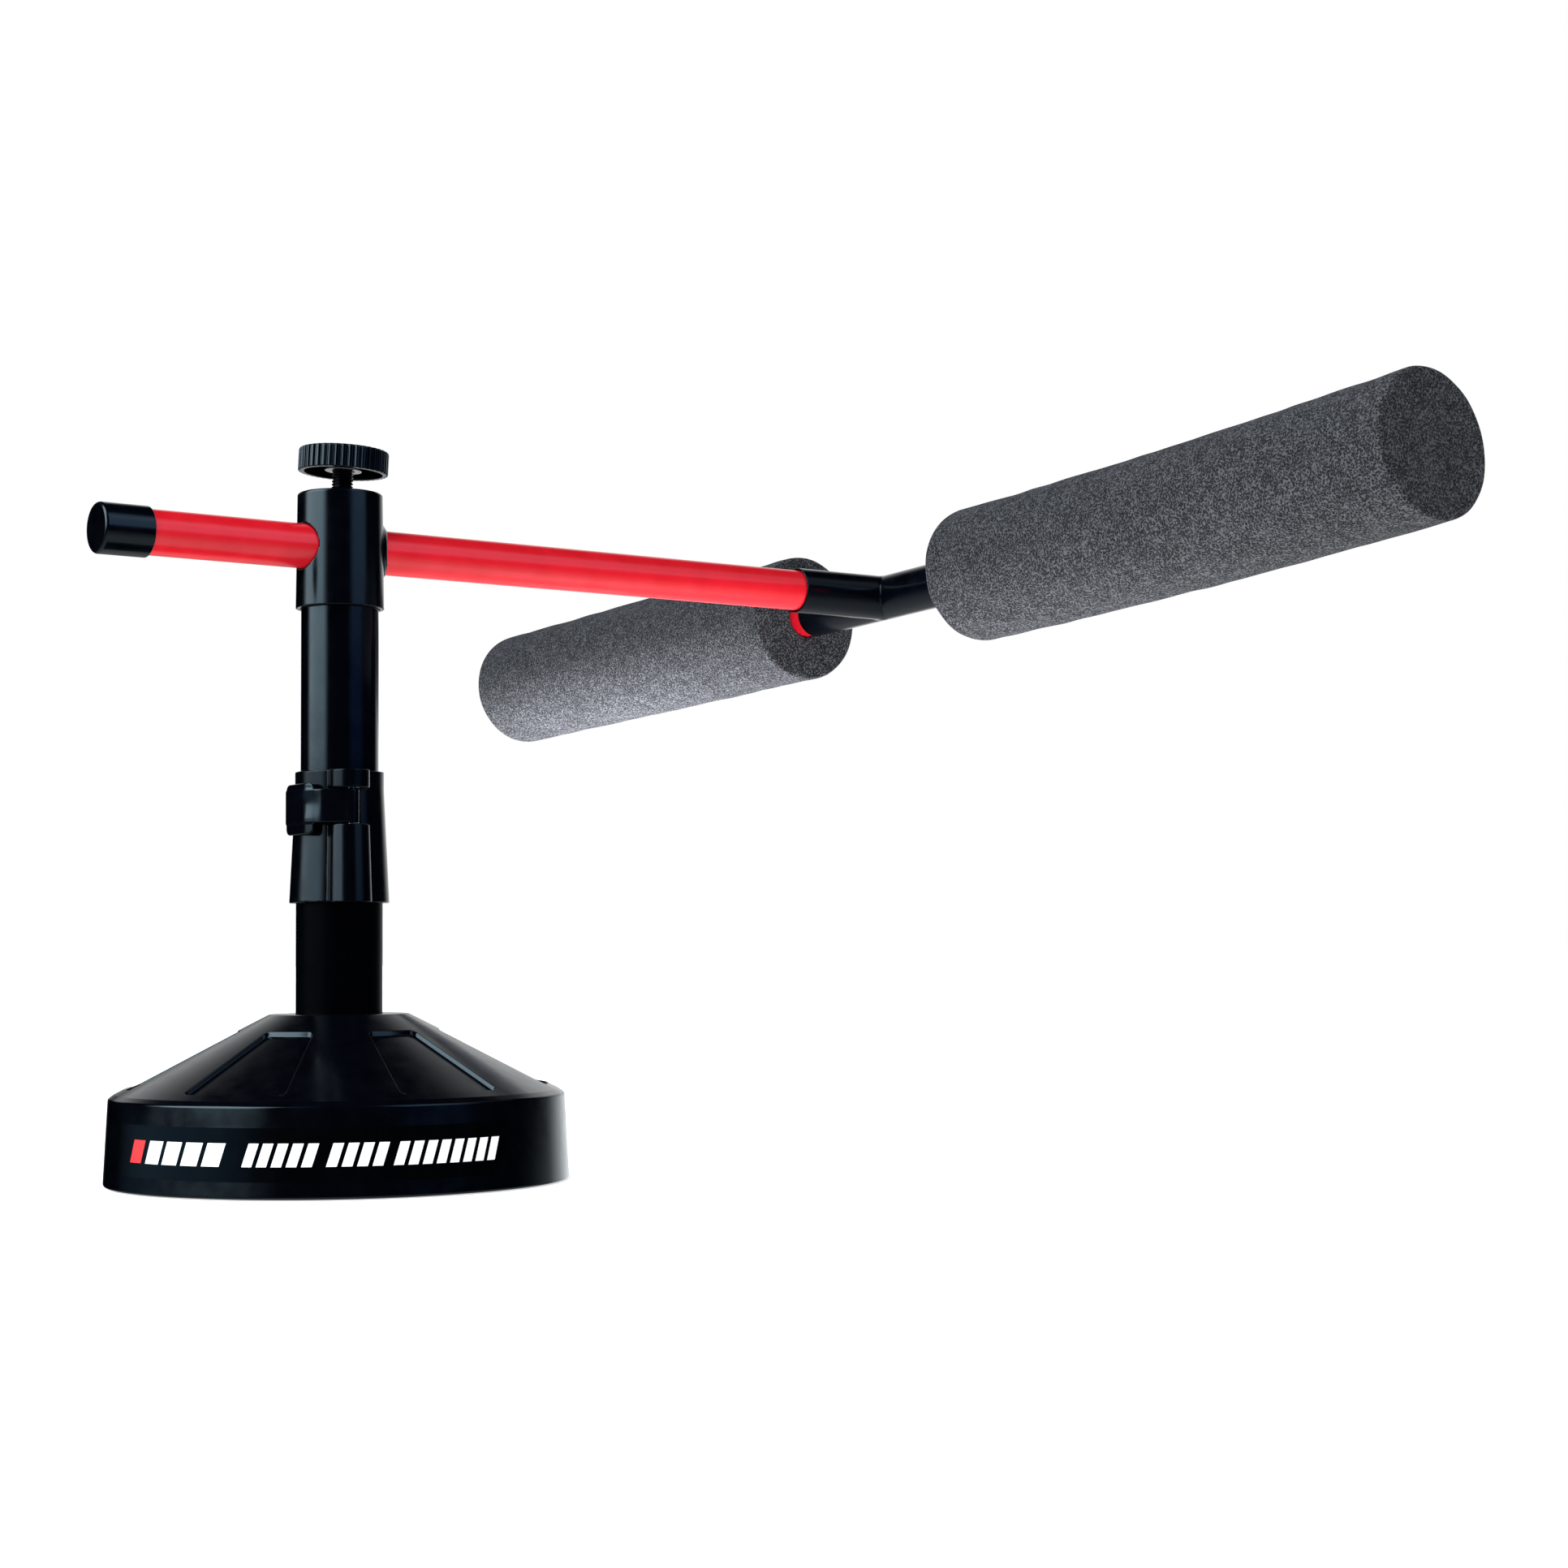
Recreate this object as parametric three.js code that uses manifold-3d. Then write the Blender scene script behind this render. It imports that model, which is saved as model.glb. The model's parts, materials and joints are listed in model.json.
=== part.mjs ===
// Golf swing path trainer: a weighted round foot carries a two-stage telescopic post with a lever clamp.
// A head on the post holds a cross arm by a thumb screw, and a tee at the arm's end carries two foam rolls.
// Frame: origin on the ground under the post's axis, +Z up, the arm points along +X. Millimetres.

import * as THREE from "three";
import { mergeVertices } from "three/addons/utils/BufferGeometryUtils.js";
import Module from "manifold-3d";

const wasm = await Module();
wasm.setup();

// ---------------------------------------------------------------- driving dimensions

const GAP = 0.3; // between faces that touch on the real object
const SEGMENTS = { foot: 60, wide: 48, tube: 32, medium: 24, small: 12, nose: 14, bend: 8 };
const TUBE_WALL = 1.6;
const FIT = 0.4; // radial play of one tube in the other

const foot = {
  radius: 106.5, // at the ground
  shoulderRadius: 104.5,
  drumHeight: 38.8,
  coneRadius: 101,
  coneFoot: 42.3,
  hubRadius: 32,
  hubHeight: 77.5,
  lift: 0.6, // the shell's rim clears the ground by this
  sideWall: 3.2,
  coneWall: 4.8, // measured upright
  sleeveRadius: 24,
  sleeveFoot: 48,
  turn: 3.6, // degrees from the arm to the nearest rib's middle
};
const panel = { count: 6, spread: 30.5, inner: 46, outer: 97, depth: 2.2 };
const pad = { radius: 100, thickness: 2 };
const plate = { thickness: 3.5, cupRadius: 21, cupHeight: 10.4, recessRadius: 11.5, recessDepth: 7.7 };
const footScrew = { count: 4, circle: 97, bossRadius: 4.5, headRadius: 4, headHeight: 1.4, shank: 2, length: 16 };
const label = { middle: -129, halfSpread: 56, foot: 8, top: 31, thickness: 0.4 };

const lowerTube = { radius: 20, foot: 13, top: 158 };
const upperTube = { radius: 18, foot: 110, top: 281 };
const M8 = { radius: 4, hole: 4.3, acrossCorners: 7.5, headHeight: 5.3 };
const M10 = { radius: 5, hole: 5.3, acrossCorners: 9.8, nutHeight: 5 };
const postPlugTop = 28;
const boltWasher = { radius: 10, thickness: 1.5 };
const glide = { flange: 4, spigot: 12 }; // heights of the upper tube's foot piece

const collar = {
  foot: 128.6,
  top: 190,
  footRadius: 23.1,
  ringRadius: 20.5,
  slotFoot: 164.6, // the lever's slot in the pivot housing
  slotTop: 181.3,
  turn: -105, // degrees from the arm to the pivot housing
};
const housing = { root: 15, halfWidth: 9.3, reach: 30.2, flare: 1.08 };
const leverPin = { out: 25.2, side: -0.4, radius: 1.5, foot: 157 };
const lever = {
  camRadius: 4,
  camOffset: 0.4,
  inner: 21.9,
  frontFace: { angle: -20, reach: 27.45 }, // the arm's flat front, its direction in degrees from the housing
  sideFace: { angle: -77.4, reach: 23.5 }, // the thumb tab's flat side
  bend: 12, // rounding between the two
  bandEnd: -38, // degrees from the housing to where the arm widens into the thumb tab
  tabEnd: -96,
  tabFoot: 160,
  tabTop: 183.6,
  root: 15.33, // the arm's plan is drawn from here and cut back to the inner radius
};
const padWindow = { inner: 15, outer: 24 };
const clampPad = { inner: 18.3, outer: 20.5, halfWidth: 4.7, foot: 165.2, top: 180.7 };

const head = { foot: 266.6, top: 321, footRadius: 20.5, topRadius: 19.8, fillet: 1.2, topWall: 3.2 };
const arm = { height: 295, radius: 10.5, wall: 1.5, rear: -118.2, front: 312, play: 0.4 };
const boss = { radius: 12, reach: 21.8 }; // where the arm leaves the head: its end follows the head's side
const cap = { radius: 11.7, rear: -120.7, front: -97, floor: 2.2, chamfer: 1.2 };
const headScrew = { angle: 53, height: 273.5, headRadius: 3.6, headHeight: 1.6, shank: 1.8, inner: 15.2 };
const shoe = { radius: 6.8, height: 2.4 };
const knob = { foot: 331, top: 341.8, radius: 21.1, flutes: 40, fluteDepth: 0.7, rimWall: 2.4, topWall: 2.6, hubRadius: 7 };
const knobWasher = { radius: 8.7, foot: 332, thickness: 1.6 };
const tilt = { angle: 2.9, towards: -36.6, height: 305 }; // the thumb screw leans in its nut, degrees from the arm
const nutChamber = { radius: 10.6, mouth: 6.4, headroom: 0.9 };

const tee = { centre: 327, radius: 11.8, armLeg: 60, barLeg: 62, stop: 14 };
const bar = { roll: 2.85, end: 220, plugFlange: 2, plugLength: 12 };
const foam = { radius: 34.5, length: 305, edge: 2, bore: 155, frontStart: 76, rearStart: 70, frontBend: 1.56e-4 };

// ---------------------------------------------------------------- shapes

const degrees = THREE.MathUtils.degToRad;

// A closed mesh as a manifold-3d solid with its faces pointing out.
function toSolid(geometry) {
  const bare = new THREE.BufferGeometry();
  bare.setAttribute("position", geometry.getAttribute("position"));
  bare.setIndex(geometry.getIndex());
  const merged = mergeVertices(bare, 1e-4);
  const index = merged.getIndex().array;
  const faces = [];
  for (let i = 0; i < index.length; i += 3) {
    const [a, b, c] = [index[i], index[i + 1], index[i + 2]];
    if (a !== b && b !== c && c !== a) faces.push(a, b, c);
  }
  const build = (order) =>
    new wasm.Manifold(
      new wasm.Mesh({
        numProp: 3,
        vertProperties: new Float32Array(merged.getAttribute("position").array),
        triVerts: new Uint32Array(order),
      }),
    );
  const made = build(faces);
  if (made.volume() > 0) return made;
  return build(faces.reverse());
}

function fromSolid(solid) {
  const mesh = solid.getMesh();
  const positions = new Float32Array(mesh.numVert * 3);
  for (let i = 0; i < mesh.numVert; i++) {
    positions.set(mesh.vertProperties.subarray(i * mesh.numProp, i * mesh.numProp + 3), i * 3);
  }
  const geometry = new THREE.BufferGeometry();
  geometry.setAttribute("position", new THREE.BufferAttribute(positions, 3));
  geometry.setIndex(new THREE.BufferAttribute(mesh.triVerts, 1));
  return geometry;
}

function join(first, ...rest) {
  return fromSolid(rest.reduce((sum, other) => sum.add(toSolid(other)), toSolid(first)));
}

function cut(first, ...rest) {
  return fromSolid(rest.reduce((sum, other) => sum.subtract(toSolid(other)), toSolid(first)));
}

function common(first, second) {
  return fromSolid(toSolid(first).intersect(toSolid(second)));
}

// A solid of revolution about Z. The profile is a loop of [radius, height] corners.
function lathe(profile, segments = SEGMENTS.tube) {
  const corners = profile.map(([radius, height]) => new THREE.Vector2(radius, height));
  const touchesAxis = profile[0][0] === 0;
  if (!touchesAxis) corners.push(corners[0].clone());
  return new THREE.LatheGeometry(corners, segments).rotateX(Math.PI / 2);
}

function disc(radius, foot, top, segments) {
  const profile = [
    [0, foot],
    [radius, foot],
    [radius, top],
    [0, top],
  ];
  return lathe(profile, segments);
}

function ring(inner, outer, foot, top, segments) {
  const profile = [
    [inner, foot],
    [outer, foot],
    [outer, top],
    [inner, top],
  ];
  return lathe(profile, segments);
}

function box(low, high) {
  const size = high.map((value, axis) => value - low[axis]);
  const middle = high.map((value, axis) => (value + low[axis]) / 2);
  return new THREE.BoxGeometry(...size).translate(...middle);
}

function hexagon(cornerRadius, foot, top) {
  return disc(cornerRadius, foot, top, 6);
}

function prism(shape, foot, top, curveSegments = 12) {
  const options = { depth: top - foot, bevelEnabled: false, curveSegments };
  return new THREE.ExtrudeGeometry(shape, options).translate(0, 0, foot);
}

// A wedge about Z between two angles in degrees, reaching past the given radius.
function wedge(middle, halfSpread, reach, foot, top) {
  const far = reach / Math.cos(degrees(halfSpread / 2));
  const shape = new THREE.Shape();
  shape.moveTo(0, 0);
  for (const step of [-1, -0.5, 0, 0.5, 1]) {
    const angle = degrees(middle + step * halfSpread);
    shape.lineTo(far * Math.cos(angle), far * Math.sin(angle));
  }
  return prism(shape, foot, top);
}

const turned = (geometry, angle) => geometry.rotateZ(degrees(angle));
const alongX = (geometry) => geometry.rotateY(Math.PI / 2);
const alongY = (geometry) => geometry.rotateX(-Math.PI / 2);

// ---------------------------------------------------------------- foot

const coneSlope = (foot.hubHeight - foot.coneFoot) / (foot.coneRadius - foot.hubRadius);
const coneHeight = (radius) => foot.coneFoot + (foot.coneRadius - radius) * coneSlope;
const postBore = lowerTube.radius + GAP;
const plateFoot = pad.thickness + GAP;
const plateTop = plateFoot + plate.thickness;

function footProfile() {
  const innerTop = foot.hubHeight - foot.coneWall + GAP;
  const coneInner = foot.shoulderRadius - foot.sideWall - 2;
  return [
    [foot.radius - foot.sideWall, foot.lift],
    [foot.radius, foot.lift],
    [foot.shoulderRadius + 0.1, foot.drumHeight - 0.8],
    [foot.shoulderRadius - 0.9, foot.drumHeight + 0.9],
    [foot.coneRadius, foot.coneFoot],
    [foot.hubRadius, foot.hubHeight - 0.5],
    [foot.hubRadius - 1.4, foot.hubHeight],
    [postBore, foot.hubHeight],
    [postBore, foot.sleeveFoot],
    [foot.sleeveRadius, foot.sleeveFoot],
    [foot.sleeveRadius, innerTop],
    [foot.hubRadius - 2, innerTop],
    [coneInner, coneHeight(coneInner) - foot.coneWall],
    [foot.shoulderRadius - foot.sideWall, foot.drumHeight - foot.sideWall],
  ];
}

function panelRecess(index) {
  const bottom = (radius) => coneHeight(radius) - panel.depth;
  const above = coneHeight(panel.inner) + 5;
  const profile = [
    [panel.inner, bottom(panel.inner)],
    [panel.outer, bottom(panel.outer)],
    [panel.outer, above],
    [panel.inner, above],
  ];
  const middle = foot.turn + (index + 0.5) * (360 / panel.count);
  const sector = wedge(middle, panel.spread / 2, panel.outer + 5, foot.coneFoot - 10, above + 1);
  return common(lathe(profile, SEGMENTS.foot), sector);
}

const screwAngle = (index) => foot.turn + index * (360 / footScrew.count);

function baseShell() {
  const bosses = [];
  const holes = [];
  for (let i = 0; i < footScrew.count; i++) {
    const place = (geometry) => turned(geometry.translate(footScrew.circle, 0, 0), screwAngle(i));
    bosses.push(place(disc(footScrew.bossRadius, plateTop + GAP, foot.coneFoot - 2, SEGMENTS.small)));
    holes.push(place(disc(footScrew.shank + GAP, plateTop, plateFoot + footScrew.length + 4, SEGMENTS.small)));
  }
  const recesses = Array.from({ length: panel.count }, (_, index) => panelRecess(index));
  return cut(join(lathe(footProfile(), SEGMENTS.foot), ...bosses), ...holes, ...recesses);
}

function bottomPlate() {
  const cupTop = plateFoot + plate.cupHeight;
  const recessTop = plateFoot + plate.recessDepth;
  const profile = [
    [M8.hole, cupTop],
    [M8.hole, recessTop],
    [plate.recessRadius, recessTop],
    [plate.recessRadius, plateFoot],
    [foot.radius - foot.sideWall - 0.6, plateFoot],
    [foot.radius - foot.sideWall - 0.8, plateTop],
    [plate.cupRadius, plateTop],
    [plate.cupRadius, cupTop],
  ];
  const holes = [];
  for (let i = 0; i < footScrew.count; i++) {
    const place = (geometry) => turned(geometry.translate(footScrew.circle, 0, 0), screwAngle(i));
    const sink = disc(footScrew.headRadius + GAP, plateFoot - 1, plateFoot + footScrew.headHeight + GAP + 0.1, SEGMENTS.small);
    holes.push(place(sink));
    holes.push(place(disc(footScrew.shank + GAP, plateFoot, plateTop + 1, SEGMENTS.small)));
  }
  return cut(lathe(profile, SEGMENTS.foot), ...holes);
}

function baseScrew(index) {
  const head = plateFoot + 0.1;
  const neck = head + footScrew.headHeight;
  const profile = [
    [0, head],
    [footScrew.headRadius, head],
    [footScrew.headRadius, neck],
    [footScrew.shank, neck],
    [footScrew.shank, head + footScrew.length - 2],
    [0, head + footScrew.length],
  ];
  return turned(lathe(profile, SEGMENTS.small).translate(footScrew.circle, 0, 0), screwAngle(index));
}

function ballast() {
  const inner = foot.sleeveRadius + 2 * GAP;
  const outer = footScrew.circle - footScrew.bossRadius - 1;
  const under = (radius) => coneHeight(radius) - foot.coneWall - 1;
  return lathe([
    [inner, plateTop + GAP],
    [outer, plateTop + GAP],
    [outer, under(outer)],
    [foot.hubRadius, under(foot.hubRadius)],
    [inner, under(foot.hubRadius)],
  ]);
}

function frontLabel() {
  const wall = (height) => {
    const lean = (foot.radius - foot.shoulderRadius) / foot.drumHeight;
    return foot.radius - lean * height + GAP;
  };
  const profile = [
    [wall(label.foot), label.foot],
    [wall(label.foot) + label.thickness, label.foot],
    [wall(label.top) + label.thickness, label.top],
    [wall(label.top), label.top],
  ];
  const sector = wedge(label.middle, label.halfSpread, foot.radius * 1.3, label.foot - 1, label.top + 1);
  return common(lathe(profile, SEGMENTS.foot), sector);
}

// ---------------------------------------------------------------- post

const lowerBore = upperTube.radius + FIT;
const upperBore = upperTube.radius - TUBE_WALL;

function postBolt() {
  const recessTop = plateFoot + plate.recessDepth;
  const headTop = recessTop - 2 * GAP - boltWasher.thickness;
  return join(
    hexagon(M8.acrossCorners, headTop - M8.headHeight + 0.6, headTop),
    disc(M8.radius, headTop - 0.5, postPlugTop - 1, SEGMENTS.small),
  );
}

function postWasher() {
  const top = plateFoot + plate.recessDepth - GAP;
  return ring(M8.hole, boltWasher.radius, top - boltWasher.thickness, top, SEGMENTS.medium);
}

// The foot of the upper tube: a flange that guides it in the lower tube, and a spigot that it turns on.
function upperTubeGlide() {
  return lathe([
    [0, upperTube.foot - glide.flange],
    [lowerBore - GAP, upperTube.foot - glide.flange],
    [lowerBore - GAP, upperTube.foot - GAP],
    [upperBore - GAP, upperTube.foot - GAP],
    [upperBore - GAP, upperTube.foot + glide.spigot],
    [0, upperTube.foot + glide.spigot],
  ]);
}

// ---------------------------------------------------------------- lever clamp

// The pivot housing's plan: a nose with a round end, along the housing's own direction.
function housingShape() {
  const { root, halfWidth, reach } = housing;
  const shape = new THREE.Shape();
  shape.moveTo(root, -halfWidth);
  shape.absarc(reach - halfWidth, 0, halfWidth, -Math.PI / 2, Math.PI / 2, false);
  shape.lineTo(root, halfWidth);
  return shape;
}

// Widens a solid towards its foot, about the post's axis.
function flared(geometry, top, scaleAtFoot, height) {
  const position = geometry.getAttribute("position");
  for (let i = 0; i < position.count; i++) {
    const scale = 1 + ((scaleAtFoot - 1) * (top - position.getZ(i))) / height;
    position.setXY(i, position.getX(i) * scale, position.getY(i) * scale);
  }
  return geometry;
}

function clampCollar() {
  const skin = lathe([
    [0, collar.foot],
    [collar.footRadius, collar.foot],
    [collar.ringRadius, collar.slotTop],
    [collar.ringRadius, collar.top - 0.5],
    [collar.ringRadius - 0.5, collar.top],
    [0, collar.top],
  ]);
  const upperEar = prism(housingShape(), collar.slotTop, collar.top, SEGMENTS.nose);
  const lowerEar = flared(
    prism(housingShape(), collar.foot, collar.slotFoot, SEGMENTS.nose),
    collar.slotFoot,
    housing.flare,
    collar.slotFoot - collar.foot,
  );
  const window = box(
    [padWindow.inner, -clampPad.halfWidth - GAP, collar.slotFoot],
    [padWindow.outer, clampPad.halfWidth + GAP, collar.slotTop],
  );
  const pinHole = disc(leverPin.radius + GAP, leverPin.foot - GAP, collar.top + 1, SEGMENTS.small);
  const body = cut(
    join(skin, upperEar, lowerEar),
    disc(postBore, collar.foot - 1, lowerTube.top + GAP),
    disc(lowerBore, collar.foot - 1, collar.top + 1),
    window,
    pinHole.translate(leverPin.out, leverPin.side, 0),
  );
  return turned(body, collar.turn);
}

function clampLeverPin() {
  const pin = disc(leverPin.radius, leverPin.foot, collar.top - GAP, SEGMENTS.small);
  return turned(pin.translate(leverPin.out, leverPin.side, 0), collar.turn);
}

// The plan of the lever's arm: a flat front from the cam, a bend, and a flat side that ends behind the tab.
function leverArmShape() {
  const camX = leverPin.out - lever.camOffset;
  const front = degrees(lever.frontFace.angle);
  const side = degrees(lever.sideFace.angle);
  const half = (front - side) / 2;
  const inFront = lever.frontFace.reach - lever.bend;
  const inSide = lever.sideFace.reach - lever.bend;
  // The bend's centre lies inside both faces by the bend's radius.
  const sine = Math.sin(side - front);
  const bendX = (inFront * Math.sin(side) - inSide * Math.sin(front)) / sine;
  const bendY = (inSide * Math.cos(front) - inFront * Math.cos(side)) / sine;
  const end = degrees(lever.tabEnd);
  const endRadius = lever.sideFace.reach / Math.cos(end - side);
  const shape = new THREE.Shape();
  shape.moveTo(camX, leverPin.side);
  for (const angle of [0, side + half, end]) {
    shape.lineTo(lever.root * Math.cos(angle), lever.root * Math.sin(angle));
  }
  shape.lineTo(endRadius * Math.cos(end), endRadius * Math.sin(end));
  shape.absarc(bendX, bendY, lever.bend, side, front, false);
  shape.lineTo(camX + lever.camRadius * Math.cos(front), leverPin.side + lever.camRadius * Math.sin(front));
  return shape;
}

// The lever at rest, shut: a cam on the pin, an arm across the collar's front and a thumb tab round its side.
function clampLever() {
  const foot = collar.slotFoot + 2 * GAP;
  const top = collar.slotTop - 2 * GAP;
  const cam = disc(lever.camRadius, foot, top, SEGMENTS.medium);
  const hole = disc(leverPin.radius + GAP, foot - 1, top + 1, SEGMENTS.small);
  const tabSpread = (lever.bandEnd - lever.tabEnd) / 2;
  const tabMiddle = lever.tabEnd + tabSpread;
  const tabSector = wedge(tabMiddle, tabSpread, lever.frontFace.reach * 1.4, lever.tabFoot, lever.tabTop);
  const postRoom = disc(lever.inner, lever.tabFoot - 1, lever.tabTop + 1, SEGMENTS.wide);
  const arm = cut(prism(leverArmShape(), foot, top, SEGMENTS.bend), postRoom.clone());
  const tabBlank = cut(prism(leverArmShape(), lever.tabFoot, lever.tabTop, SEGMENTS.bend), postRoom);
  const body = cut(
    join(arm, common(tabBlank, tabSector), cam.translate(leverPin.out - lever.camOffset, leverPin.side, 0)),
    hole.translate(leverPin.out, leverPin.side, 0),
  );
  return turned(body, collar.turn);
}

function clampPadPiece() {
  const { inner, outer, halfWidth, foot, top } = clampPad;
  return turned(box([inner, -halfWidth, foot], [outer, halfWidth, top]), collar.turn);
}

// ---------------------------------------------------------------- head and thumb screw

const armBore = arm.radius + arm.play;
const chamberTop = head.top - head.topWall;
const nutFoot = chamberTop - nutChamber.headroom - M10.nutHeight;
const shoeFoot = arm.height + arm.radius + GAP;

function armHead() {
  const outside = lathe([
    [0, head.foot],
    [head.footRadius, head.foot],
    [head.topRadius, head.top - head.fillet],
    [head.topRadius - head.fillet, head.top],
    [0, head.top],
  ]);
  const bossBar = alongX(disc(boss.radius, 0, boss.reach + 5, SEGMENTS.tube)).translate(0, 0, arm.height);
  const exitBoss = common(bossBar, disc(boss.reach, head.foot, head.top - head.fillet, SEGMENTS.wide));
  const crossBore = alongX(disc(armBore, -boss.reach - 5, boss.reach + 5, SEGMENTS.tube));
  const screwHole = alongX(disc(headScrew.shank + GAP, headScrew.inner, boss.reach + 5, SEGMENTS.small));
  return cut(
    join(outside, exitBoss),
    disc(upperTube.radius + GAP, head.foot - 1, upperTube.top + GAP),
    crossBore.translate(0, 0, arm.height),
    disc(nutChamber.radius, arm.height, chamberTop, SEGMENTS.medium),
    disc(nutChamber.mouth, arm.height, head.top + 1, SEGMENTS.medium),
    turned(screwHole, headScrew.angle).translate(0, 0, headScrew.height),
  );
}

function upperTubePiece() {
  const hole = alongX(disc(headScrew.shank + GAP, 0, upperTube.radius + 5, SEGMENTS.small));
  return cut(
    ring(upperBore, upperTube.radius, upperTube.foot, upperTube.top),
    turned(hole, headScrew.angle).translate(0, 0, headScrew.height),
  );
}

function headScrewPiece() {
  const seat = head.footRadius + GAP;
  const profile = [
    [0, headScrew.inner],
    [headScrew.shank, headScrew.inner + 1],
    [headScrew.shank, seat],
    [headScrew.headRadius, seat],
    [headScrew.headRadius, seat + headScrew.headHeight * 0.6],
    [headScrew.headRadius * 0.6, seat + headScrew.headHeight],
    [0, seat + headScrew.headHeight],
  ];
  return turned(alongX(lathe(profile, SEGMENTS.small)), headScrew.angle).translate(0, 0, headScrew.height);
}

// Leans a piece of the thumb screw, or its nut, about the point where the stud meets the arm.
function leaning(geometry) {
  const across = degrees(tilt.towards + 90);
  const axis = new THREE.Vector3(Math.cos(across), Math.sin(across), 0);
  const lean = new THREE.Matrix4().makeRotationAxis(axis, degrees(tilt.angle));
  return geometry.translate(0, 0, -tilt.height).applyMatrix4(lean).translate(0, 0, tilt.height);
}

function captiveNut() {
  const nut = hexagon(M10.acrossCorners, nutFoot, nutFoot + M10.nutHeight);
  return cut(nut, disc(M10.hole, nutFoot - 1, nutFoot + M10.nutHeight + 1, SEGMENTS.small));
}

function knobStud() {
  const foot = shoeFoot + shoe.height + GAP;
  const top = knob.top - knob.topWall - GAP;
  return lathe(
    [
      [0, foot],
      [M10.radius - 1, foot],
      [M10.radius, foot + 1],
      [M10.radius, top],
      [0, top],
    ],
    SEGMENTS.small,
  );
}

function fluteOutline() {
  const shape = new THREE.Shape();
  const steps = knob.flutes * 2;
  for (let i = 0; i < steps; i++) {
    const radius = knob.radius - (i % 2) * knob.fluteDepth;
    const angle = (i / steps) * 2 * Math.PI;
    const point = [radius * Math.cos(angle), radius * Math.sin(angle)];
    if (i === 0) shape.moveTo(...point);
    else shape.lineTo(...point);
  }
  return shape;
}

function knobPiece() {
  const ceiling = knob.top - knob.topWall;
  const hubFoot = knobWasher.foot + knobWasher.thickness + GAP;
  const hollow = ring(knob.hubRadius, knob.radius - knob.fluteDepth - knob.rimWall, knob.foot - 1, ceiling);
  return cut(
    prism(fluteOutline(), knob.foot, knob.top),
    hollow,
    disc(knob.hubRadius + 1, knob.foot - 1, hubFoot),
    disc(M10.radius + GAP, knob.foot - 1, ceiling, SEGMENTS.small),
  );
}

function knobWasherPiece() {
  const { radius, foot, thickness } = knobWasher;
  return ring(M10.hole, radius, foot, foot + thickness, SEGMENTS.medium);
}

// ---------------------------------------------------------------- arm, along X at the arm's height

function endCap() {
  const floor = cap.rear + cap.floor;
  const profile = [
    [0, cap.rear],
    [cap.radius - cap.chamfer, cap.rear],
    [cap.radius, cap.rear + cap.chamfer],
    [cap.radius, cap.front],
    [arm.radius + GAP, cap.front],
    [arm.radius + GAP, floor],
    [0, floor],
  ];
  return alongX(lathe(profile));
}

// ---------------------------------------------------------------- tee and bar, about the tee's centre, bar along Y

const socket = arm.radius + GAP;

function teeFitting() {
  const barBody = alongY(disc(tee.radius, -tee.barLeg, tee.barLeg, SEGMENTS.tube));
  const armBody = alongX(disc(tee.radius, -tee.armLeg, 0, SEGMENTS.tube));
  const armSocket = alongX(disc(socket, -tee.armLeg - 1, arm.front - tee.centre + GAP, SEGMENTS.tube));
  const frontSocket = alongY(disc(socket, -tee.barLeg - 1, -tee.stop, SEGMENTS.tube));
  const rearSocket = alongY(disc(socket, tee.stop, tee.barLeg + 1, SEGMENTS.tube));
  return cut(join(barBody, armBody), armSocket, frontSocket, rearSocket);
}

// Pieces of the bar are made pointing along +Z from the tee's centre, then turned to -Y or +Y.
const toFront = (geometry) => geometry.rotateX(Math.PI / 2);
const toRear = (geometry) => geometry.rotateX(-Math.PI / 2);

function barTube() {
  return ring(arm.radius - arm.wall, arm.radius, tee.stop + GAP, bar.end);
}

function barEndPlug() {
  const inner = arm.radius - arm.wall - GAP;
  return lathe(
    [
      [0, bar.end - bar.plugLength],
      [inner, bar.end - bar.plugLength],
      [inner, bar.end + GAP],
      [arm.radius, bar.end + GAP],
      [arm.radius, bar.end + GAP + bar.plugFlange],
      [0, bar.end + GAP + bar.plugFlange],
    ],
    SEGMENTS.medium,
  );
}

// A foam roll along +Z from the given start, bored from its inner end for the bar, its side in some steps.
function foamRoll(start, steps) {
  const end = start + foam.length;
  const boreEnd = start + foam.bore;
  const skin = foam.radius - foam.edge;
  const sides = Array.from({ length: steps + 1 }, (_, i) => {
    return [foam.radius, start + foam.edge + (i / steps) * (foam.length - 2 * foam.edge)];
  });
  return lathe([
    [0, boreEnd],
    [arm.radius + GAP, boreEnd],
    [arm.radius + GAP, start],
    [skin, start],
    ...sides,
    [skin, end],
    [0, end],
  ]);
}

// Bends a roll that runs along -Y from its start upwards into an arc. Its bore stays straight.
function bentUp(geometry, start, curvature) {
  const position = geometry.getAttribute("position");
  for (let i = 0; i < position.count; i++) {
    const along = -position.getY(i) - start;
    const up = position.getZ(i);
    const onBore = Math.hypot(position.getX(i), up) < arm.radius + 1 && along < foam.length - 1;
    if (onBore) continue;
    const angle = curvature * along;
    position.setY(i, -(start + along - up * Math.sin(angle)));
    position.setZ(i, up * Math.cos(angle) + (curvature * along * along) / 2);
  }
  return geometry;
}

// ---------------------------------------------------------------- materials

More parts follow.
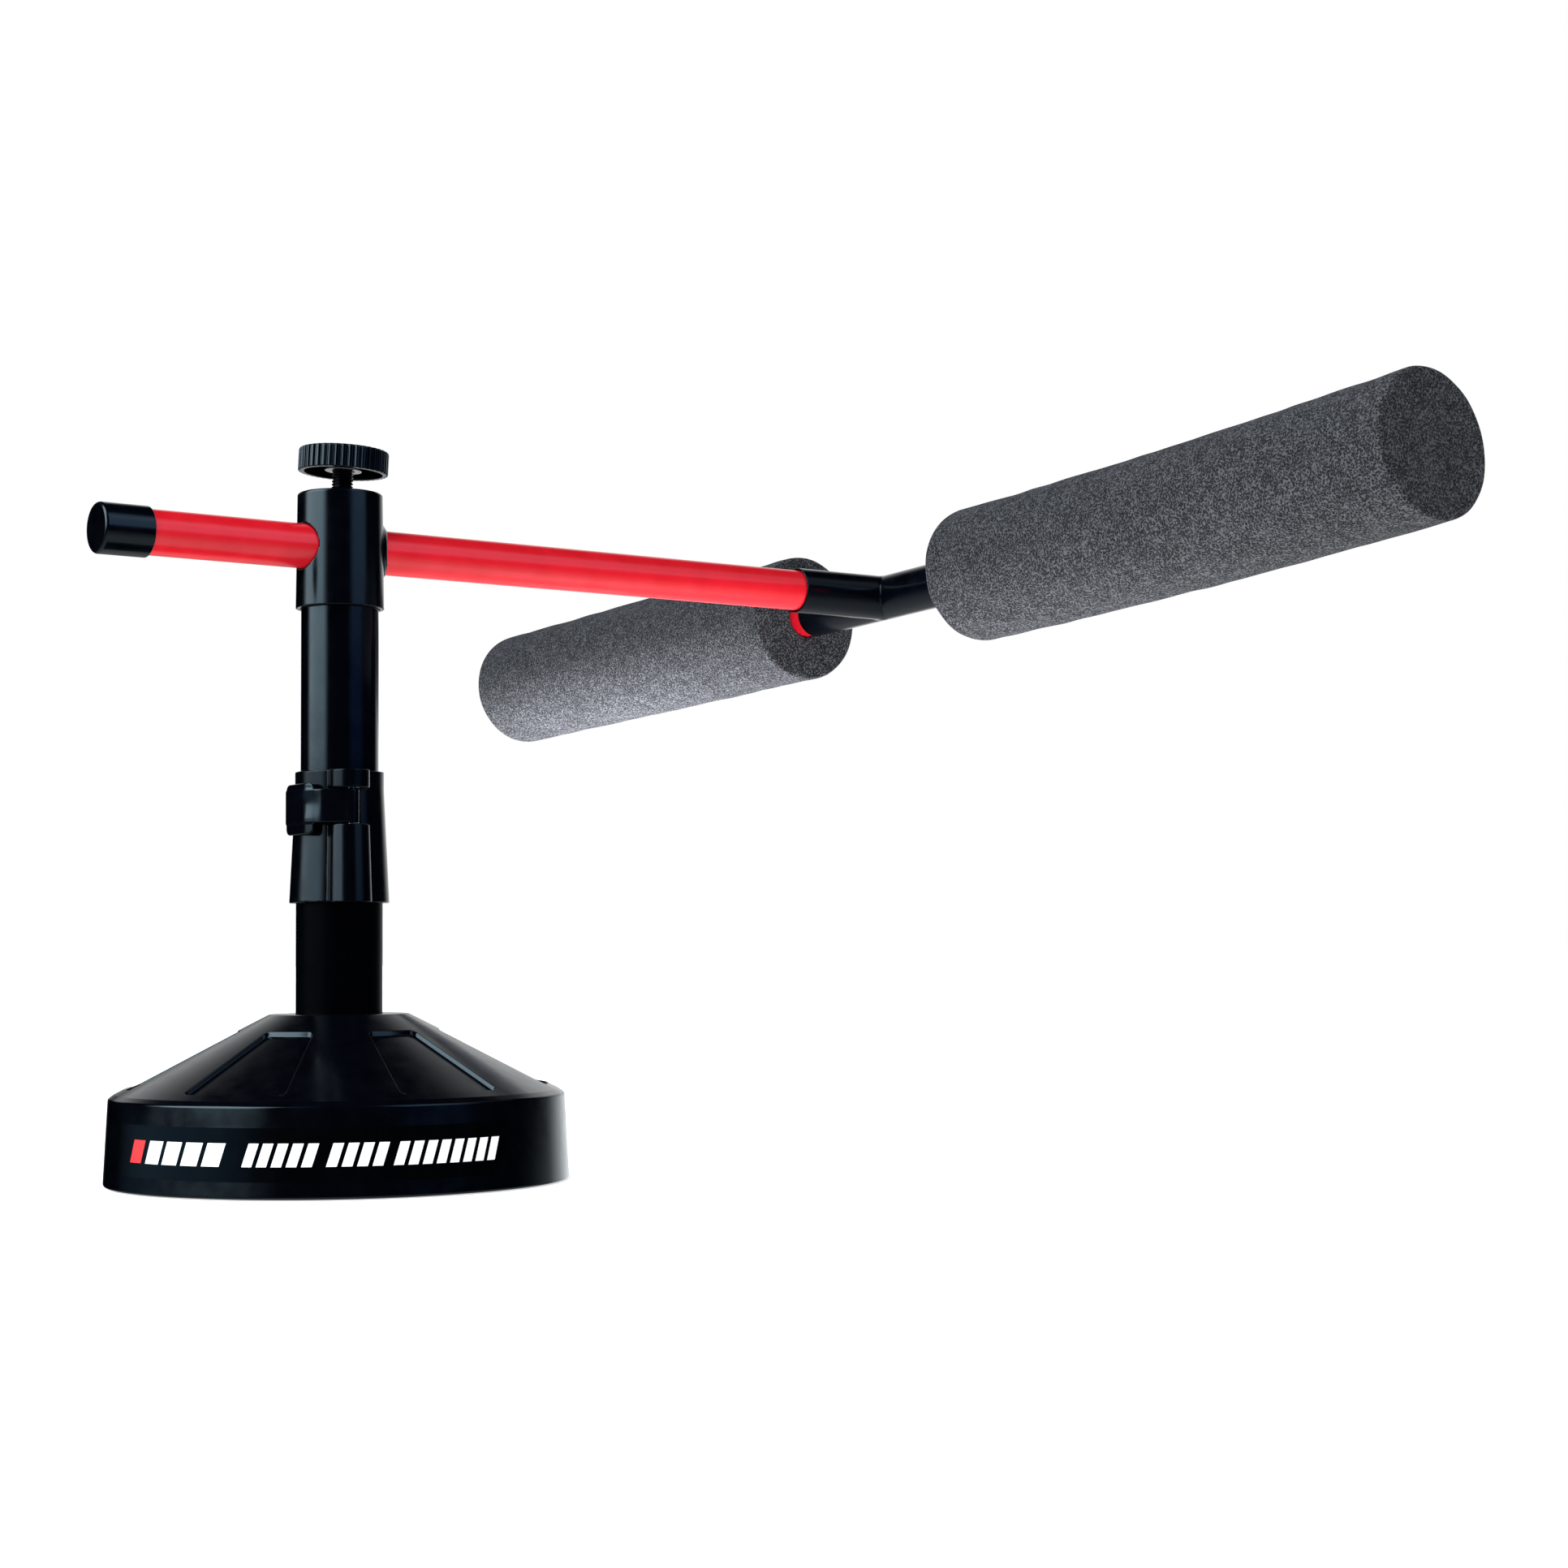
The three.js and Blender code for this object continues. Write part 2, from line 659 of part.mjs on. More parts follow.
const finish = (color, roughness, metalness = 0) =>
  new THREE.MeshStandardMaterial({ color, roughness, metalness });
const blackPlastic = finish(0x0b0c0f, 0.28);
const blackTube = finish(0x08090c, 0.25);
const redTube = finish(0xd8262c, 0.25);
const darkFoam = finish(0x3c3d40, 0.95);
const rubber = finish(0x141414, 0.9);
const zinc = finish(0xb8bcc0, 0.35, 1);
const blackSteel = finish(0x101113, 0.4, 0.8);
const nylon = finish(0xd9d8d0, 0.5);
const cement = finish(0x8a8780, 0.95);
const labelFilm = finish(0x050507, 0.2);

// ---------------------------------------------------------------- assembly

const trainer = new THREE.Group();

function add(group, name, material, geometry) {
  const mesh = new THREE.Mesh(geometry, material);
  mesh.name = name;
  group.add(mesh);
}

add(trainer, "base_shell", blackPlastic, baseShell());
add(trainer, "base_bottom_plate", blackPlastic, bottomPlate());
add(trainer, "ballast", cement, ballast());
add(trainer, "non_slip_pad", rubber, disc(pad.radius, 0, pad.thickness, SEGMENTS.foot));
for (let i = 0; i < footScrew.count; i++) add(trainer, `base_screw_${i + 1}`, zinc, baseScrew(i));
add(trainer, "front_label", labelFilm, frontLabel());

add(trainer, "lower_tube", blackTube, ring(lowerBore, lowerTube.radius, lowerTube.foot, lowerTube.top));
add(trainer, "lower_tube_plug", nylon, ring(M8.hole, lowerBore - GAP, lowerTube.foot + GAP, postPlugTop));
add(trainer, "post_bolt", zinc, postBolt());
add(trainer, "post_washer", zinc, postWasher());
add(trainer, "upper_tube_glide", nylon, upperTubeGlide());
add(trainer, "upper_tube", blackTube, upperTubePiece());

add(trainer, "clamp_collar", blackPlastic, clampCollar());
add(trainer, "clamp_lever_pin", zinc, clampLeverPin());
add(trainer, "clamp_lever", blackPlastic, clampLever());
add(trainer, "clamp_pad", nylon, clampPadPiece());

add(trainer, "arm_head", blackPlastic, armHead());
add(trainer, "head_screw", blackSteel, headScrewPiece());
add(trainer, "captive_nut", zinc, leaning(captiveNut()));
add(trainer, "clamp_shoe", nylon, disc(shoe.radius, shoeFoot, shoeFoot + shoe.height, SEGMENTS.medium));
add(trainer, "knob_stud", blackSteel, leaning(knobStud()));
add(trainer, "knob", blackPlastic, leaning(knobPiece()));
add(trainer, "knob_washer", zinc, leaning(knobWasherPiece()));

const armGroup = new THREE.Group();
armGroup.position.z = arm.height;
trainer.add(armGroup);
add(armGroup, "arm_tube", redTube, alongX(ring(arm.radius - arm.wall, arm.radius, arm.rear, arm.front)));
add(armGroup, "arm_end_cap", blackPlastic, endCap());

const barGroup = new THREE.Group();
barGroup.position.x = tee.centre;
barGroup.rotation.x = degrees(-bar.roll);
armGroup.add(barGroup);
add(barGroup, "tee_fitting", blackPlastic, teeFitting());
add(barGroup, "bar_tube_front", redTube, toFront(barTube()));
add(barGroup, "bar_tube_rear", redTube, toRear(barTube()));
add(barGroup, "bar_end_plug_front", nylon, toFront(barEndPlug()));
add(barGroup, "bar_end_plug_rear", nylon, toRear(barEndPlug()));
const frontRoll = bentUp(toFront(foamRoll(foam.frontStart, 5)), foam.frontStart, foam.frontBend);
add(barGroup, "foam_roll_front", darkFoam, frontRoll);
add(barGroup, "foam_roll_rear", darkFoam, toRear(foamRoll(foam.rearStart, 1)));

export default trainer;
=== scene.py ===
import itertools
import json
import math
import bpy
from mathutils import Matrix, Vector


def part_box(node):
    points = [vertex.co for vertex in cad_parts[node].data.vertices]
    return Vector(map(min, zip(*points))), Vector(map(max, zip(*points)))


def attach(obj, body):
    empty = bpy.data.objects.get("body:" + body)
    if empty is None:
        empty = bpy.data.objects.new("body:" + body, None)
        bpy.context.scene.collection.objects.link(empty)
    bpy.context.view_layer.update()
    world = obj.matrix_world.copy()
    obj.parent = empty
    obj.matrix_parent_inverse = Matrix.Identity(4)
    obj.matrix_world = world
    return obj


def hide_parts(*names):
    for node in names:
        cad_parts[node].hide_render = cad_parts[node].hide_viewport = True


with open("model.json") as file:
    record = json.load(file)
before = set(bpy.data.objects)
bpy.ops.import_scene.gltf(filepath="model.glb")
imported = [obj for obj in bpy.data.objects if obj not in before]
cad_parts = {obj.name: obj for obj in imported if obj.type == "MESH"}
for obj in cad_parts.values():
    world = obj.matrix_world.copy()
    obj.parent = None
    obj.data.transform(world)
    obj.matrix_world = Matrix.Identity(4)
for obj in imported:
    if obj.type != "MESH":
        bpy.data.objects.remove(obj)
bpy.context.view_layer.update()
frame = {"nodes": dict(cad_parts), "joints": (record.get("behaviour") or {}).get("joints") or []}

from types import SimpleNamespace as Values

import bpy
import numpy as np
from mathutils import Matrix, Vector

# A golf swing path trainer: weighted foot, telescopic post with a lever clamp, arm head with a thumb screw,
# and a cross arm whose tee carries two foam rolls. Everything is in metres in the part's frame.

MM = 0.001
TAU = 2 * math.pi


# ---- sizes, many of them from the frame

def in_mm(**lengths):
    """Named lengths, given in millimetres and kept in metres."""
    return Values(**{name: length * MM for name, length in lengths.items()})


def span(node, axis):
    """The lowest and highest value of a CAD node along an axis."""
    low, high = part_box(node)
    return low[axis], high[axis]


def radius_of(node):
    """Half a CAD node's width along Y: its radius, where it is round about the post or the arm."""
    low, high = span(node, 1)
    return (high - low) / 2


JOINT = {joint["name"]: joint for joint in frame["joints"]}
FOOT_TOP = span("base_shell", 2)[1]
FOOT_RADIUS = span("base_shell", 0)[1]
ARM_HEIGHT = sum(span("arm_tube", 2)) / 2
ARM_RADIUS = radius_of("arm_tube")
TEE_CENTRE = Vector(JOINT["arm_roll"]["pos_m"])
BAR_ROLL = math.radians(2.85)  # the bar's front end stands this much higher
GAP = 0.3 * MM  # between fixed pieces
FIT = 0.4 * MM  # round a tube that slides
TUBE_WALL = 1.6 * MM
ARM_WALL = 1.5 * MM
FOOT_TURN = math.radians(3.6)  # from the arm to the nearest rib's middle


# ---- meshes

def add_object(name, data):
    """A new object in the scene."""
    thing = bpy.data.objects.new(name, data)
    bpy.context.scene.collection.objects.link(thing)
    return thing


def new_mesh(name, points, faces, normals, matrix=None):
    """A smooth mesh object from points with their normals, first moved by a rigid matrix if there is one."""
    if matrix is not None:
        array = np.array(matrix)
        points = points @ array[:3, :3].T + array[:3, 3]
        normals = normals @ array[:3, :3].T
    mesh = bpy.data.meshes.new(name)
    mesh.from_pydata([tuple(p) for p in points], [], [tuple(f) for f in faces])
    mesh.polygons.foreach_set("use_smooth", np.ones(len(mesh.polygons), bool))
    mesh.normals_split_custom_set_from_vertices([tuple(n) for n in normals])
    return add_object(name, mesh)


def unit(vectors):
    """Vectors scaled to length 1."""
    return vectors / np.maximum(np.linalg.norm(vectors, axis=-1, keepdims=True), 1e-9)


def polar(points):
    """Each point's distance from Z and its angle round it."""
    return np.hypot(points[:, 0], points[:, 1]), np.arctan2(points[:, 1], points[:, 0])


def around(radius, angles, height):
    """Points round Z, or normals: a radius and a height at each angle."""
    return np.stack([radius * np.cos(angles), radius * np.sin(angles), height + 0 * angles], axis=-1)


ARC_STEP = 11  # most degrees between two points of a rounded corner
SIDE_SHARE = 0.48  # most of a side that one of its corners takes up


def rounded_loop(corners):
    """A closed outline of (across, along, rounding) corners as points with outward normals.

    Each corner becomes an arc that is tangent to both its sides. Corners run anticlockwise."""
    points = []
    normals = []
    count = len(corners)
    for i, (x, y, rounding) in enumerate(corners):
        here = np.array([x, y])
        before = np.array(corners[i - 1][:2]) - here
        after = np.array(corners[(i + 1) % count][:2]) - here
        before_length = np.linalg.norm(before)
        after_length = np.linalg.norm(after)
        before = before / before_length
        after = after / after_length
        cosine = float(np.clip(before @ after, -1, 1))
        half = math.acos(cosine) / 2
        turn = math.pi - 2 * half
        side_in = np.array([-before[1], before[0]])
        side_out = np.array([after[1], -after[0]])
        if rounding == 0 or turn < 1e-3:
            middle = side_in + side_out
            if x == 0:
                middle = side_in if abs(side_in[1]) > abs(side_out[1]) else side_out
            points.append(here)
            normals.append(unit(middle))
            continue
        reach = min(rounding / math.tan(half), before_length * SIDE_SHARE, after_length * SIDE_SHARE)
        radius = reach * math.tan(half)
        bisector = unit(before + after)
        centre = here + bisector * radius / math.sin(half)
        convex = side_in @ bisector < 0
        steps = max(2, math.ceil(math.degrees(turn) / ARC_STEP))
        for k in range(steps + 1):
            t = k / steps
            blend = side_in * math.sin((1 - t) * turn) + side_out * math.sin(t * turn)
            outward = unit(blend)
            points.append(centre + outward * radius * (1 if convex else -1))
            normals.append(outward)
    return np.array(points), np.array(normals)


def finer(points, normals, gap, where):
    """Adds points so that no step is above the gap on the sides with where(point) true at both ends."""
    new_points = []
    new_normals = []
    for i in range(len(points)):
        a, b = points[i], points[(i + 1) % len(points)]
        new_points.append(a)
        new_normals.append(normals[i])
        if where(a) and where(b):
            steps = math.ceil(np.linalg.norm(b - a) / gap)
            for k in range(1, steps):
                new_points.append(a + (b - a) * k / steps)
                mixed = normals[i] + (normals[(i + 1) % len(points)] - normals[i]) * k / steps
                new_normals.append(unit(mixed))
    return np.array(new_points), np.array(new_normals)


def grid_faces(rings, columns, closed=True):
    """Quads of a grid, closed or open both ways. Vertex (ring, column) has index ring * columns + column."""
    left_out = 0 if closed else 1
    i, j = np.indices((rings - left_out, columns - left_out)).reshape(2, -1)
    i_next, j_next = (i + 1) % rings, (j + 1) % columns
    corners = [i * columns + j, i * columns + j_next, i_next * columns + j_next, i_next * columns + j]
    return np.stack(corners, axis=1)


def lathe(name, corners, segments=128, frame_of=None, shape=None):
    """Turns a closed (radius, height, rounding) outline about Z, or about frame_of's Z.

    The outline runs anticlockwise with the radius to the right. shape(points, normals) may change the
    finished points, given as arrays, before they go through frame_of."""
    outline, outward = rounded_loop(corners)
    return turn_outline(name, outline, outward, segments, frame_of, shape)


def turn_outline(name, outline, outward, segments, frame_of=None, shape=None):
    """Turns the points of a finished outline, given with their outward normals, as lathe does."""
    angles = np.arange(segments) * TAU / segments
    points, normals = (around(line[:, :1], angles, line[:, 1:]).reshape(-1, 3) for line in (outline, outward))
    if shape:
        points, normals = shape(points, normals)
    points, faces, normals = close_on_axis(points, grid_faces(len(outline), segments), normals)
    return new_mesh(name, points, faces, normals, frame_of)


def close_on_axis(points, faces, normals):
    """Joins the vertices that share a place, which a profile that touches its axis makes."""
    _, first, which = np.unique(np.round(points, 8), axis=0, return_index=True, return_inverse=True)
    which = which.ravel()
    if len(first) == len(points):
        return points, faces, normals
    slim = []
    for face in which[faces]:
        kept = [v for i, v in enumerate(face) if v != face[i - 1]]
        if len(kept) >= 3 and len(set(kept)) == len(kept):
            slim.append(kept)
    return points[first], slim, normals[first]


def axis_frame(origin, along):
    """A rigid frame at the origin whose Z runs along a direction and whose X is level."""
    z = Vector(along).normalized()
    x = Vector((0, 0, 1)).cross(z).normalized()
    rotation = Matrix((x, z.cross(x), z)).transposed().to_4x4()
    return Matrix.Translation(Vector(origin)) @ rotation


# ---- solids from distance fields

def round_union(a, b, radius):
    """The union of two distance fields, its inner edge filled with a fillet."""
    u = np.maximum(radius - a, 0)
    v = np.maximum(radius - b, 0)
    return np.maximum(radius, np.minimum(a, b)) - np.hypot(u, v)


def round_common(a, b, radius):
    """The common part of two distance fields, its outer edge rounded."""
    u = np.maximum(radius + a, 0)
    v = np.maximum(radius + b, 0)
    return np.minimum(-radius, np.maximum(a, b)) + np.hypot(u, v)


def round_cut(a, b, radius):
    """The first distance field without the second, the new edge rounded."""
    return round_common(a, -b, radius)


def slab(value, low, high):
    """Distance to the space between two parallel planes."""
    return np.abs(value - (low + high) / 2) - (high - low) / 2


def rod(p, axis, radius, low, high, rounding):
    """A round bar along a coordinate axis, its two ends rounded."""
    across = [k for k in range(3) if k != axis]
    side = np.hypot(p[:, across[0]], p[:, across[1]]) - radius
    return round_common(side, slab(p[:, axis], low, high), rounding)


def part_of(axis, start, stop, others=slice(None)):
    """The index of a 3-D array's part from start to stop along an axis, and of the others' slice."""
    index = [others] * 3
    index[axis] = slice(start, stop)
    return tuple(index)


NET_CELL = 0.6 * MM
NET_MARGIN = 1.5 * MM  # from a solid's ends to the ends of its net


def net_solid(name, field, low, high, matrix=None, cell=NET_CELL):
    """The surface where a distance field is zero, as a closed net of quads with exact normals.

    Each cell that the surface crosses holds one vertex, the mean of the crossings on the cell's edges."""
    low = np.array(low, float)
    counts = np.ceil((np.array(high) - low) / cell).astype(int) + 1
    lines = [low[k] + np.arange(counts[k]) * cell for k in range(3)]
    grid = np.stack(np.meshgrid(*lines, indexing="ij"), axis=-1)
    value = field(grid.reshape(-1, 3)).reshape(counts)
    inside = value < 0
    total = np.zeros(tuple(counts - 1) + (3,))
    hits = np.zeros(tuple(counts - 1))
    for axis in range(3):
        near, far = part_of(axis, 0, -1), part_of(axis, 1, None)
        crossing = inside[near] != inside[far]
        share = np.where(crossing, value[near] / np.where(crossing, value[near] - value[far], 1), 0)
        place = np.indices(crossing.shape).astype(float)
        place[axis] += share
        a, b = [k for k in range(3) if k != axis]
        for shift_a, shift_b in itertools.product((0, 1), (0, 1)):
            pick = [slice(None)] * 3
            pick[a] = slice(shift_a, crossing.shape[a] - 1 + shift_a)
            pick[b] = slice(shift_b, crossing.shape[b] - 1 + shift_b)
            pick = tuple(pick)
            hits += crossing[pick]
            for k in range(3):
                total[..., k] += crossing[pick] * place[k][pick]
    used = hits > 0
    index = np.full(used.shape, -1)
    index[used] = np.arange(used.sum())
    points = low + total[used] / hits[used][:, None] * cell
    faces = []
    for axis in range(3):
        a, b = [(1, 2), (2, 0), (0, 1)][axis]
        near, far = part_of(axis, 0, -1, slice(1, -1)), part_of(axis, 1, None, slice(1, -1))
        enters = inside[far] & ~inside[near]
        leaves = inside[near] & ~inside[far]
        for mask, order in ((leaves, 1), (enters, -1)):
            base = np.argwhere(mask) + 1
            base[:, axis] -= 1
            corners = []
            for shift_a, shift_b in ((-1, -1), (0, -1), (0, 0), (-1, 0)):
                at = base.copy()
                at[:, a] += shift_a
                at[:, b] += shift_b
                corners.append(index[tuple(at.T)])
            faces.append(np.stack(corners, axis=1)[:, ::order])
    for _ in range(4):
        slope = gradient(field, points)
        length = np.maximum((slope**2).sum(axis=1, keepdims=True), 0.25)
        step = slope * (field(points)[:, None] / length)
        points = points - np.clip(step, -cell / 2, cell / 2)
    return new_mesh(name, points, np.concatenate(faces), unit(gradient(field, points)), matrix)


def gradient(field, points, step=0.02 * MM):
    """The field's slope at each point, by central differences."""
    columns = []
    for axis in range(3):
        shift = np.zeros(3)
        shift[axis] = step
        columns.append((field(points + shift) - field(points - shift)) / (2 * step))
    return np.stack(columns, axis=1)


# ---- materials

def feed(socket, value):
    """Gives a node's input a number, a colour or another node's output."""
    if isinstance(value, bpy.types.NodeSocket):
        socket.id_data.links.new(value, socket)
    else:
        socket.default_value = value


def set_inputs(node, **inputs):
    """Feeds a node's inputs, named with _ for a space."""
    for name, value in inputs.items():
        feed(node.inputs[name.replace("_", " ")], value)


def new_node(tree, kind, output, **inputs):
    """An output of a new node with the given inputs."""
    node = tree.nodes.new("ShaderNode" + kind)
    set_inputs(node, **inputs)
    return node.outputs[output]


def shader(name, colour, roughness, **sockets):
    """A new material with its Principled shader set, as (material, shader, place in the object)."""
    material = bpy.data.materials.new(name)
    material.use_nodes = True
    tree = material.node_tree
    surface = tree.nodes["Principled BSDF"]
    set_inputs(surface, Base_Color=(*colour, 1), Roughness=roughness, **sockets)
    return material, surface, new_node(tree, "TexCoord", "Object")


def noise(place, size, detail):
    """Noise with features of about the given size, in metres, from 0 to 1."""
    return new_node(place.id_data, "TexNoise", "Fac", Vector=place, Scale=1 / size, Detail=detail)


def remap(value, *limits):
    """A value from the first two limits brought between the last two."""
    named = zip(("From_Min", "From_Max", "To_Min", "To_Max"), limits)
    return new_node(value.id_data, "MapRange", "Result", Value=value, **dict(named))


def combine(operation, a, b):
    """A Math node on two values, the second an output or a number."""
    result = new_node(a.id_data, "Math", "Value")
    result.node.operation = operation
    for socket, value in zip(result.node.inputs, (a, b)):
        feed(socket, value)
    return result


def times(a, b):
    return combine("MULTIPLY", a, b)


def plus(a, b):
    return combine("ADD", a, b)


def ramp(value, *stops):
    """A colour that runs through (position, colour) stops."""
    colour = new_node(value.id_data, "ValToRGB", "Color", Fac=value)
    elements = colour.node.color_ramp.elements
    while len(elements) < len(stops):
        elements.new(0.5)
    for element, (position, stop) in zip(elements, stops):
        element.position = position
        element.color = (*stop, 1)
    return colour


def bump(surface, height, distance, strength=1.0):
    """Small relief, its height from 0 to 1 standing for the given distance in metres."""
    normal = new_node(height.id_data, "Bump", "Normal", Strength=strength, Distance=distance, Height=height)
    set_inputs(surface, Normal=normal)


NOISE_LOW, NOISE_HIGH = 0.3, 0.7  # nearly all of a noise's values lie between these


def vary(value, low, high):
    """A noise brought between two numbers."""
    return remap(value, NOISE_LOW, NOISE_HIGH, low, high)


def vary_colour(surface, value, colour, low, high):
    """Gives a surface its colour times low to high, as a noise varies."""
    dark, light = (tuple(min(1.0, c * factor) for c in colour) for factor in (low, high))
    set_inputs(surface, Base_Color=ramp(value, (NOISE_LOW, dark), (NOISE_HIGH, light)))


def moulded_plastic(name, colour, roughness, relief=0.004 * MM, **sockets):
    """Glossy moulded plastic: a faint flow pattern in its gloss and a very shallow ripple."""
    material, surface, place = shader(name, colour, roughness, **sockets)
    flow = noise(place, 9 * MM, 3)
    fine = noise(place, 0.5 * MM, 2)
    gloss = plus(vary(flow, -0.03, 0.04), vary(fine, -0.01, 0.02))
    set_inputs(surface, Roughness=plus(gloss, roughness))
    vary_colour(surface, flow, colour, 0.8, 1.25)
    bump(surface, noise(place, 2.5 * MM, 2), relief)
    return material


def painted_tube(name, colour, roughness, **sockets):
    """Powder-coated tube: a smooth gloss coat with a slight orange-peel ripple."""
    material, surface, place = shader(name, colour, roughness, **sockets)
    cloud = noise(place, 14 * MM, 2)
    set_inputs(surface, Roughness=vary(cloud, roughness - 0.03, roughness + 0.04))
    vary_colour(surface, cloud, colour, 0.93, 1.05)
    bump(surface, noise(place, 1.6 * MM, 1), 0.006 * MM)
    return material


FOAM_CELL = 1 * MM
FOAM_PAINTED_SHADE_COLOURS = (  # painted shade in the pits, the cell walls, and a painted highlight on the raised crumbs, each at its share of the relief
    (0.36, (0.0016, 0.0017, 0.0022)), (0.6, (0.0092, 0.0096, 0.0115)), (0.84, (0.062, 0.0645, 0.0715)))


def open_foam(name):
    """Dark open-cell foam whose colour follows its relief: painted shade in the pits, painted highlight on
    the cell walls and crumbs, and a soft haze at grazing angles.
    """
    material, surface, place = shader(
        name, (0.08, 0.08, 0.09), 0.95, Specular_IOR_Level=0.08, Sheen_Weight=0.03, Sheen_Roughness=0.6,
        Sheen_Tint=(0.8, 0.84, 0.9, 1))
    walls = new_node(place.id_data, "TexVoronoi", "Distance", Vector=place, Scale=1 / FOAM_CELL)
    crumbs = noise(place, 0.65 * MM, 3)
    patches = noise(place, 6 * MM, 3)
    mixed = plus(times(walls, 0.55), times(crumbs, 0.75))
    mixed = plus(mixed, vary(patches, -0.05, 0.05))
    # Painted shade and highlight: the colour is darkest where the relief is low and lightest where it is
    # high.
    set_inputs(surface, Base_Color=ramp(mixed, *FOAM_PAINTED_SHADE_COLOURS))
    bump(surface, mixed, 0.5 * MM, 0.9)
    return material


def bare_metal(name, colour, roughness):
    """Plated steel with a faint grain."""
    material, surface, place = shader(name, colour, roughness, Metallic=1.0)
    grain = noise(place, 0.35 * MM, 3)
    stain = noise(place, 3 * MM, 3)
    total = plus(times(grain, 0.5), times(stain, 0.5))
    set_inputs(surface, Roughness=vary(total, roughness - 0.06, roughness + 0.1))
    vary_colour(surface, total, colour, 0.82, 1)
    bump(surface, grain, 0.01 * MM)
    return material


def matte_solid(name, colour, roughness, size, relief, spread=0.25, **sockets):
    """A dull material mottled at the given size: rubber, nylon, cement or printing."""
    material, surface, place = shader(name, colour, roughness, **sockets)
    mottle = noise(place, size, 4)
    vary_colour(surface, mottle, colour, 1 - spread, 1 + spread)
    set_inputs(surface, Roughness=vary(mottle, roughness - 0.06, roughness + 0.05))
    bump(surface, mottle, relief)
    return material


BLUISH = (0.66, 0.88, 1.0, 1)
PLASTIC = moulded_plastic("black_plastic", (0.0006, 0.0009, 0.0022), 0.16, Specular_Tint=BLUISH)
DULL_PLASTIC = moulded_plastic(
    "dull_black_plastic", (0.0005, 0.0008, 0.002), 0.17, Specular_Tint=BLUISH, Specular_IOR_Level=0.3)
BLACK_TUBE = painted_tube("black_tube", (0.0005, 0.0008, 0.002), 0.14, Specular_Tint=BLUISH)
MATT_TUBE = painted_tube("black_tube_matt", (0.0004, 0.0005, 0.001), 0.3, Specular_IOR_Level=0.02)
RED_TUBE = painted_tube("red_tube", (0.455, 0.005, 0.0125), 0.22, Coat_Weight=0.2, Coat_Roughness=0.15)
FOAM = open_foam("foam")
RUBBER = matte_solid("rubber", (0.02, 0.02, 0.021), 0.85, 1.2 * MM, 0.15 * MM)
ZINC = bare_metal("zinc", (0.80, 0.82, 0.84), 0.28)
BLACK_STEEL = bare_metal("black_steel", (0.03, 0.032, 0.038), 0.3)
NYLON = matte_solid("nylon", (0.72, 0.71, 0.66), 0.45, 2 * MM, 0.01 * MM, 0.05, Subsurface_Weight=0.1)
CEMENT = matte_solid("cement", (0.30, 0.29, 0.27), 0.93, 3 * MM, 0.4 * MM)
LABEL_FILM = moulded_plastic("label_film", (0.0008, 0.001, 0.0014), 0.1, 0.002 * MM, Specular_Tint=BLUISH)
LABEL_WHITE = matte_solid("label_white", (0.84, 0.86, 0.88), 0.38, 1.2 * MM, 0.004 * MM, 0.03)
LABEL_RED = matte_solid("label_red", (0.80, 0.03, 0.035), 0.36, 1.2 * MM, 0.004 * MM, 0.05)


def finish_piece(piece, material, body, slot_name, *nodes):
    """Gives a piece its material and its body, and hides the CAD nodes it stands for. slot_name is not used.
    """
    piece.data.materials.append(material)
    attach(piece, body)
    if nodes:
        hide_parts(*nodes)


# ---- foot

PANEL = Values(
    count=6, half=math.radians(15.25), inner=46 * MM, outer=97 * MM, depth=2 * MM, wall=1 * MM, corner=3 * MM)
PANEL_PITCH = TAU / PANEL.count
CONE_FOOT = (101 * MM, 42.3 * MM)
HUB_RADIUS = 32 * MM
POST_BORE = radius_of("lower_tube") + GAP
SHELL = in_mm(wall=3.2, roof=4.8, draft=2, rim_top=39.9)
SHELL_INSIDE = Values(eave=(99.3 * MM, 39.5 * MM), rim_top=36.5 * MM)
SLEEVE = in_mm(radius=24, low=48)  # hangs from the roof round the post's foot


def panel_distance(radius, angle):
    """Distance outside the nearest sunk panel's rounded outline on the cone, negative inside it."""
    turn = (angle - FOOT_TURN) % PANEL_PITCH - PANEL_PITCH / 2
    middle = (PANEL.inner + PANEL.outer) / 2
    along = np.abs(radius - middle) - (PANEL.outer - PANEL.inner) / 2 + PANEL.corner
    across = radius * (np.abs(turn) - PANEL.half) + PANEL.corner
    outside = np.hypot(np.maximum(along, 0), np.maximum(across, 0))
    return outside + np.minimum(np.maximum(along, across), 0) - PANEL.corner


def panel_sink(x, y):
    """How far the cone's surface is sunk at a place."""
    radius = np.hypot(x, y)
    t = np.clip(-panel_distance(radius, np.arctan2(y, x)) / PANEL.wall, 0, 1)
    return PANEL.depth * t * t * t * (t * (6 * t - 15) + 10)


def sink_panels(points, normals):
    """Presses the panels into the points that lie on the cone."""
    radius = np.hypot(points[:, 0], points[:, 1])
    on_cone = (radius < CONE_FOOT[0]) & (radius > HUB_RADIUS) & (normals[:, 2] > 0.5)
    x, y = points[on_cone, 0], points[on_cone, 1]
    step = 0.05 * MM
    slope_x = (panel_sink(x + step, y) - panel_sink(x - step, y)) / (2 * step)
    slope_y = (panel_sink(x, y + step) - panel_sink(x, y - step)) / (2 * step)
    points = points.copy()
    normals = normals.copy()
    points[on_cone, 2] -= panel_sink(x, y)
    normals[on_cone, 0] += slope_x * normals[on_cone, 2]
    normals[on_cone, 1] += slope_y * normals[on_cone, 2]
    return points, unit(normals)


def edge_steps():
    """Offsets either side of a panel's edge, close together where its wall is."""
    inner = np.arange(-7, 2) * 0.25 * MM
    outer = [-4.2 * MM, -3.4 * MM, -2.7 * MM, -2.1 * MM, 0.9 * MM]
    return np.sort(np.concatenate([inner, outer]))


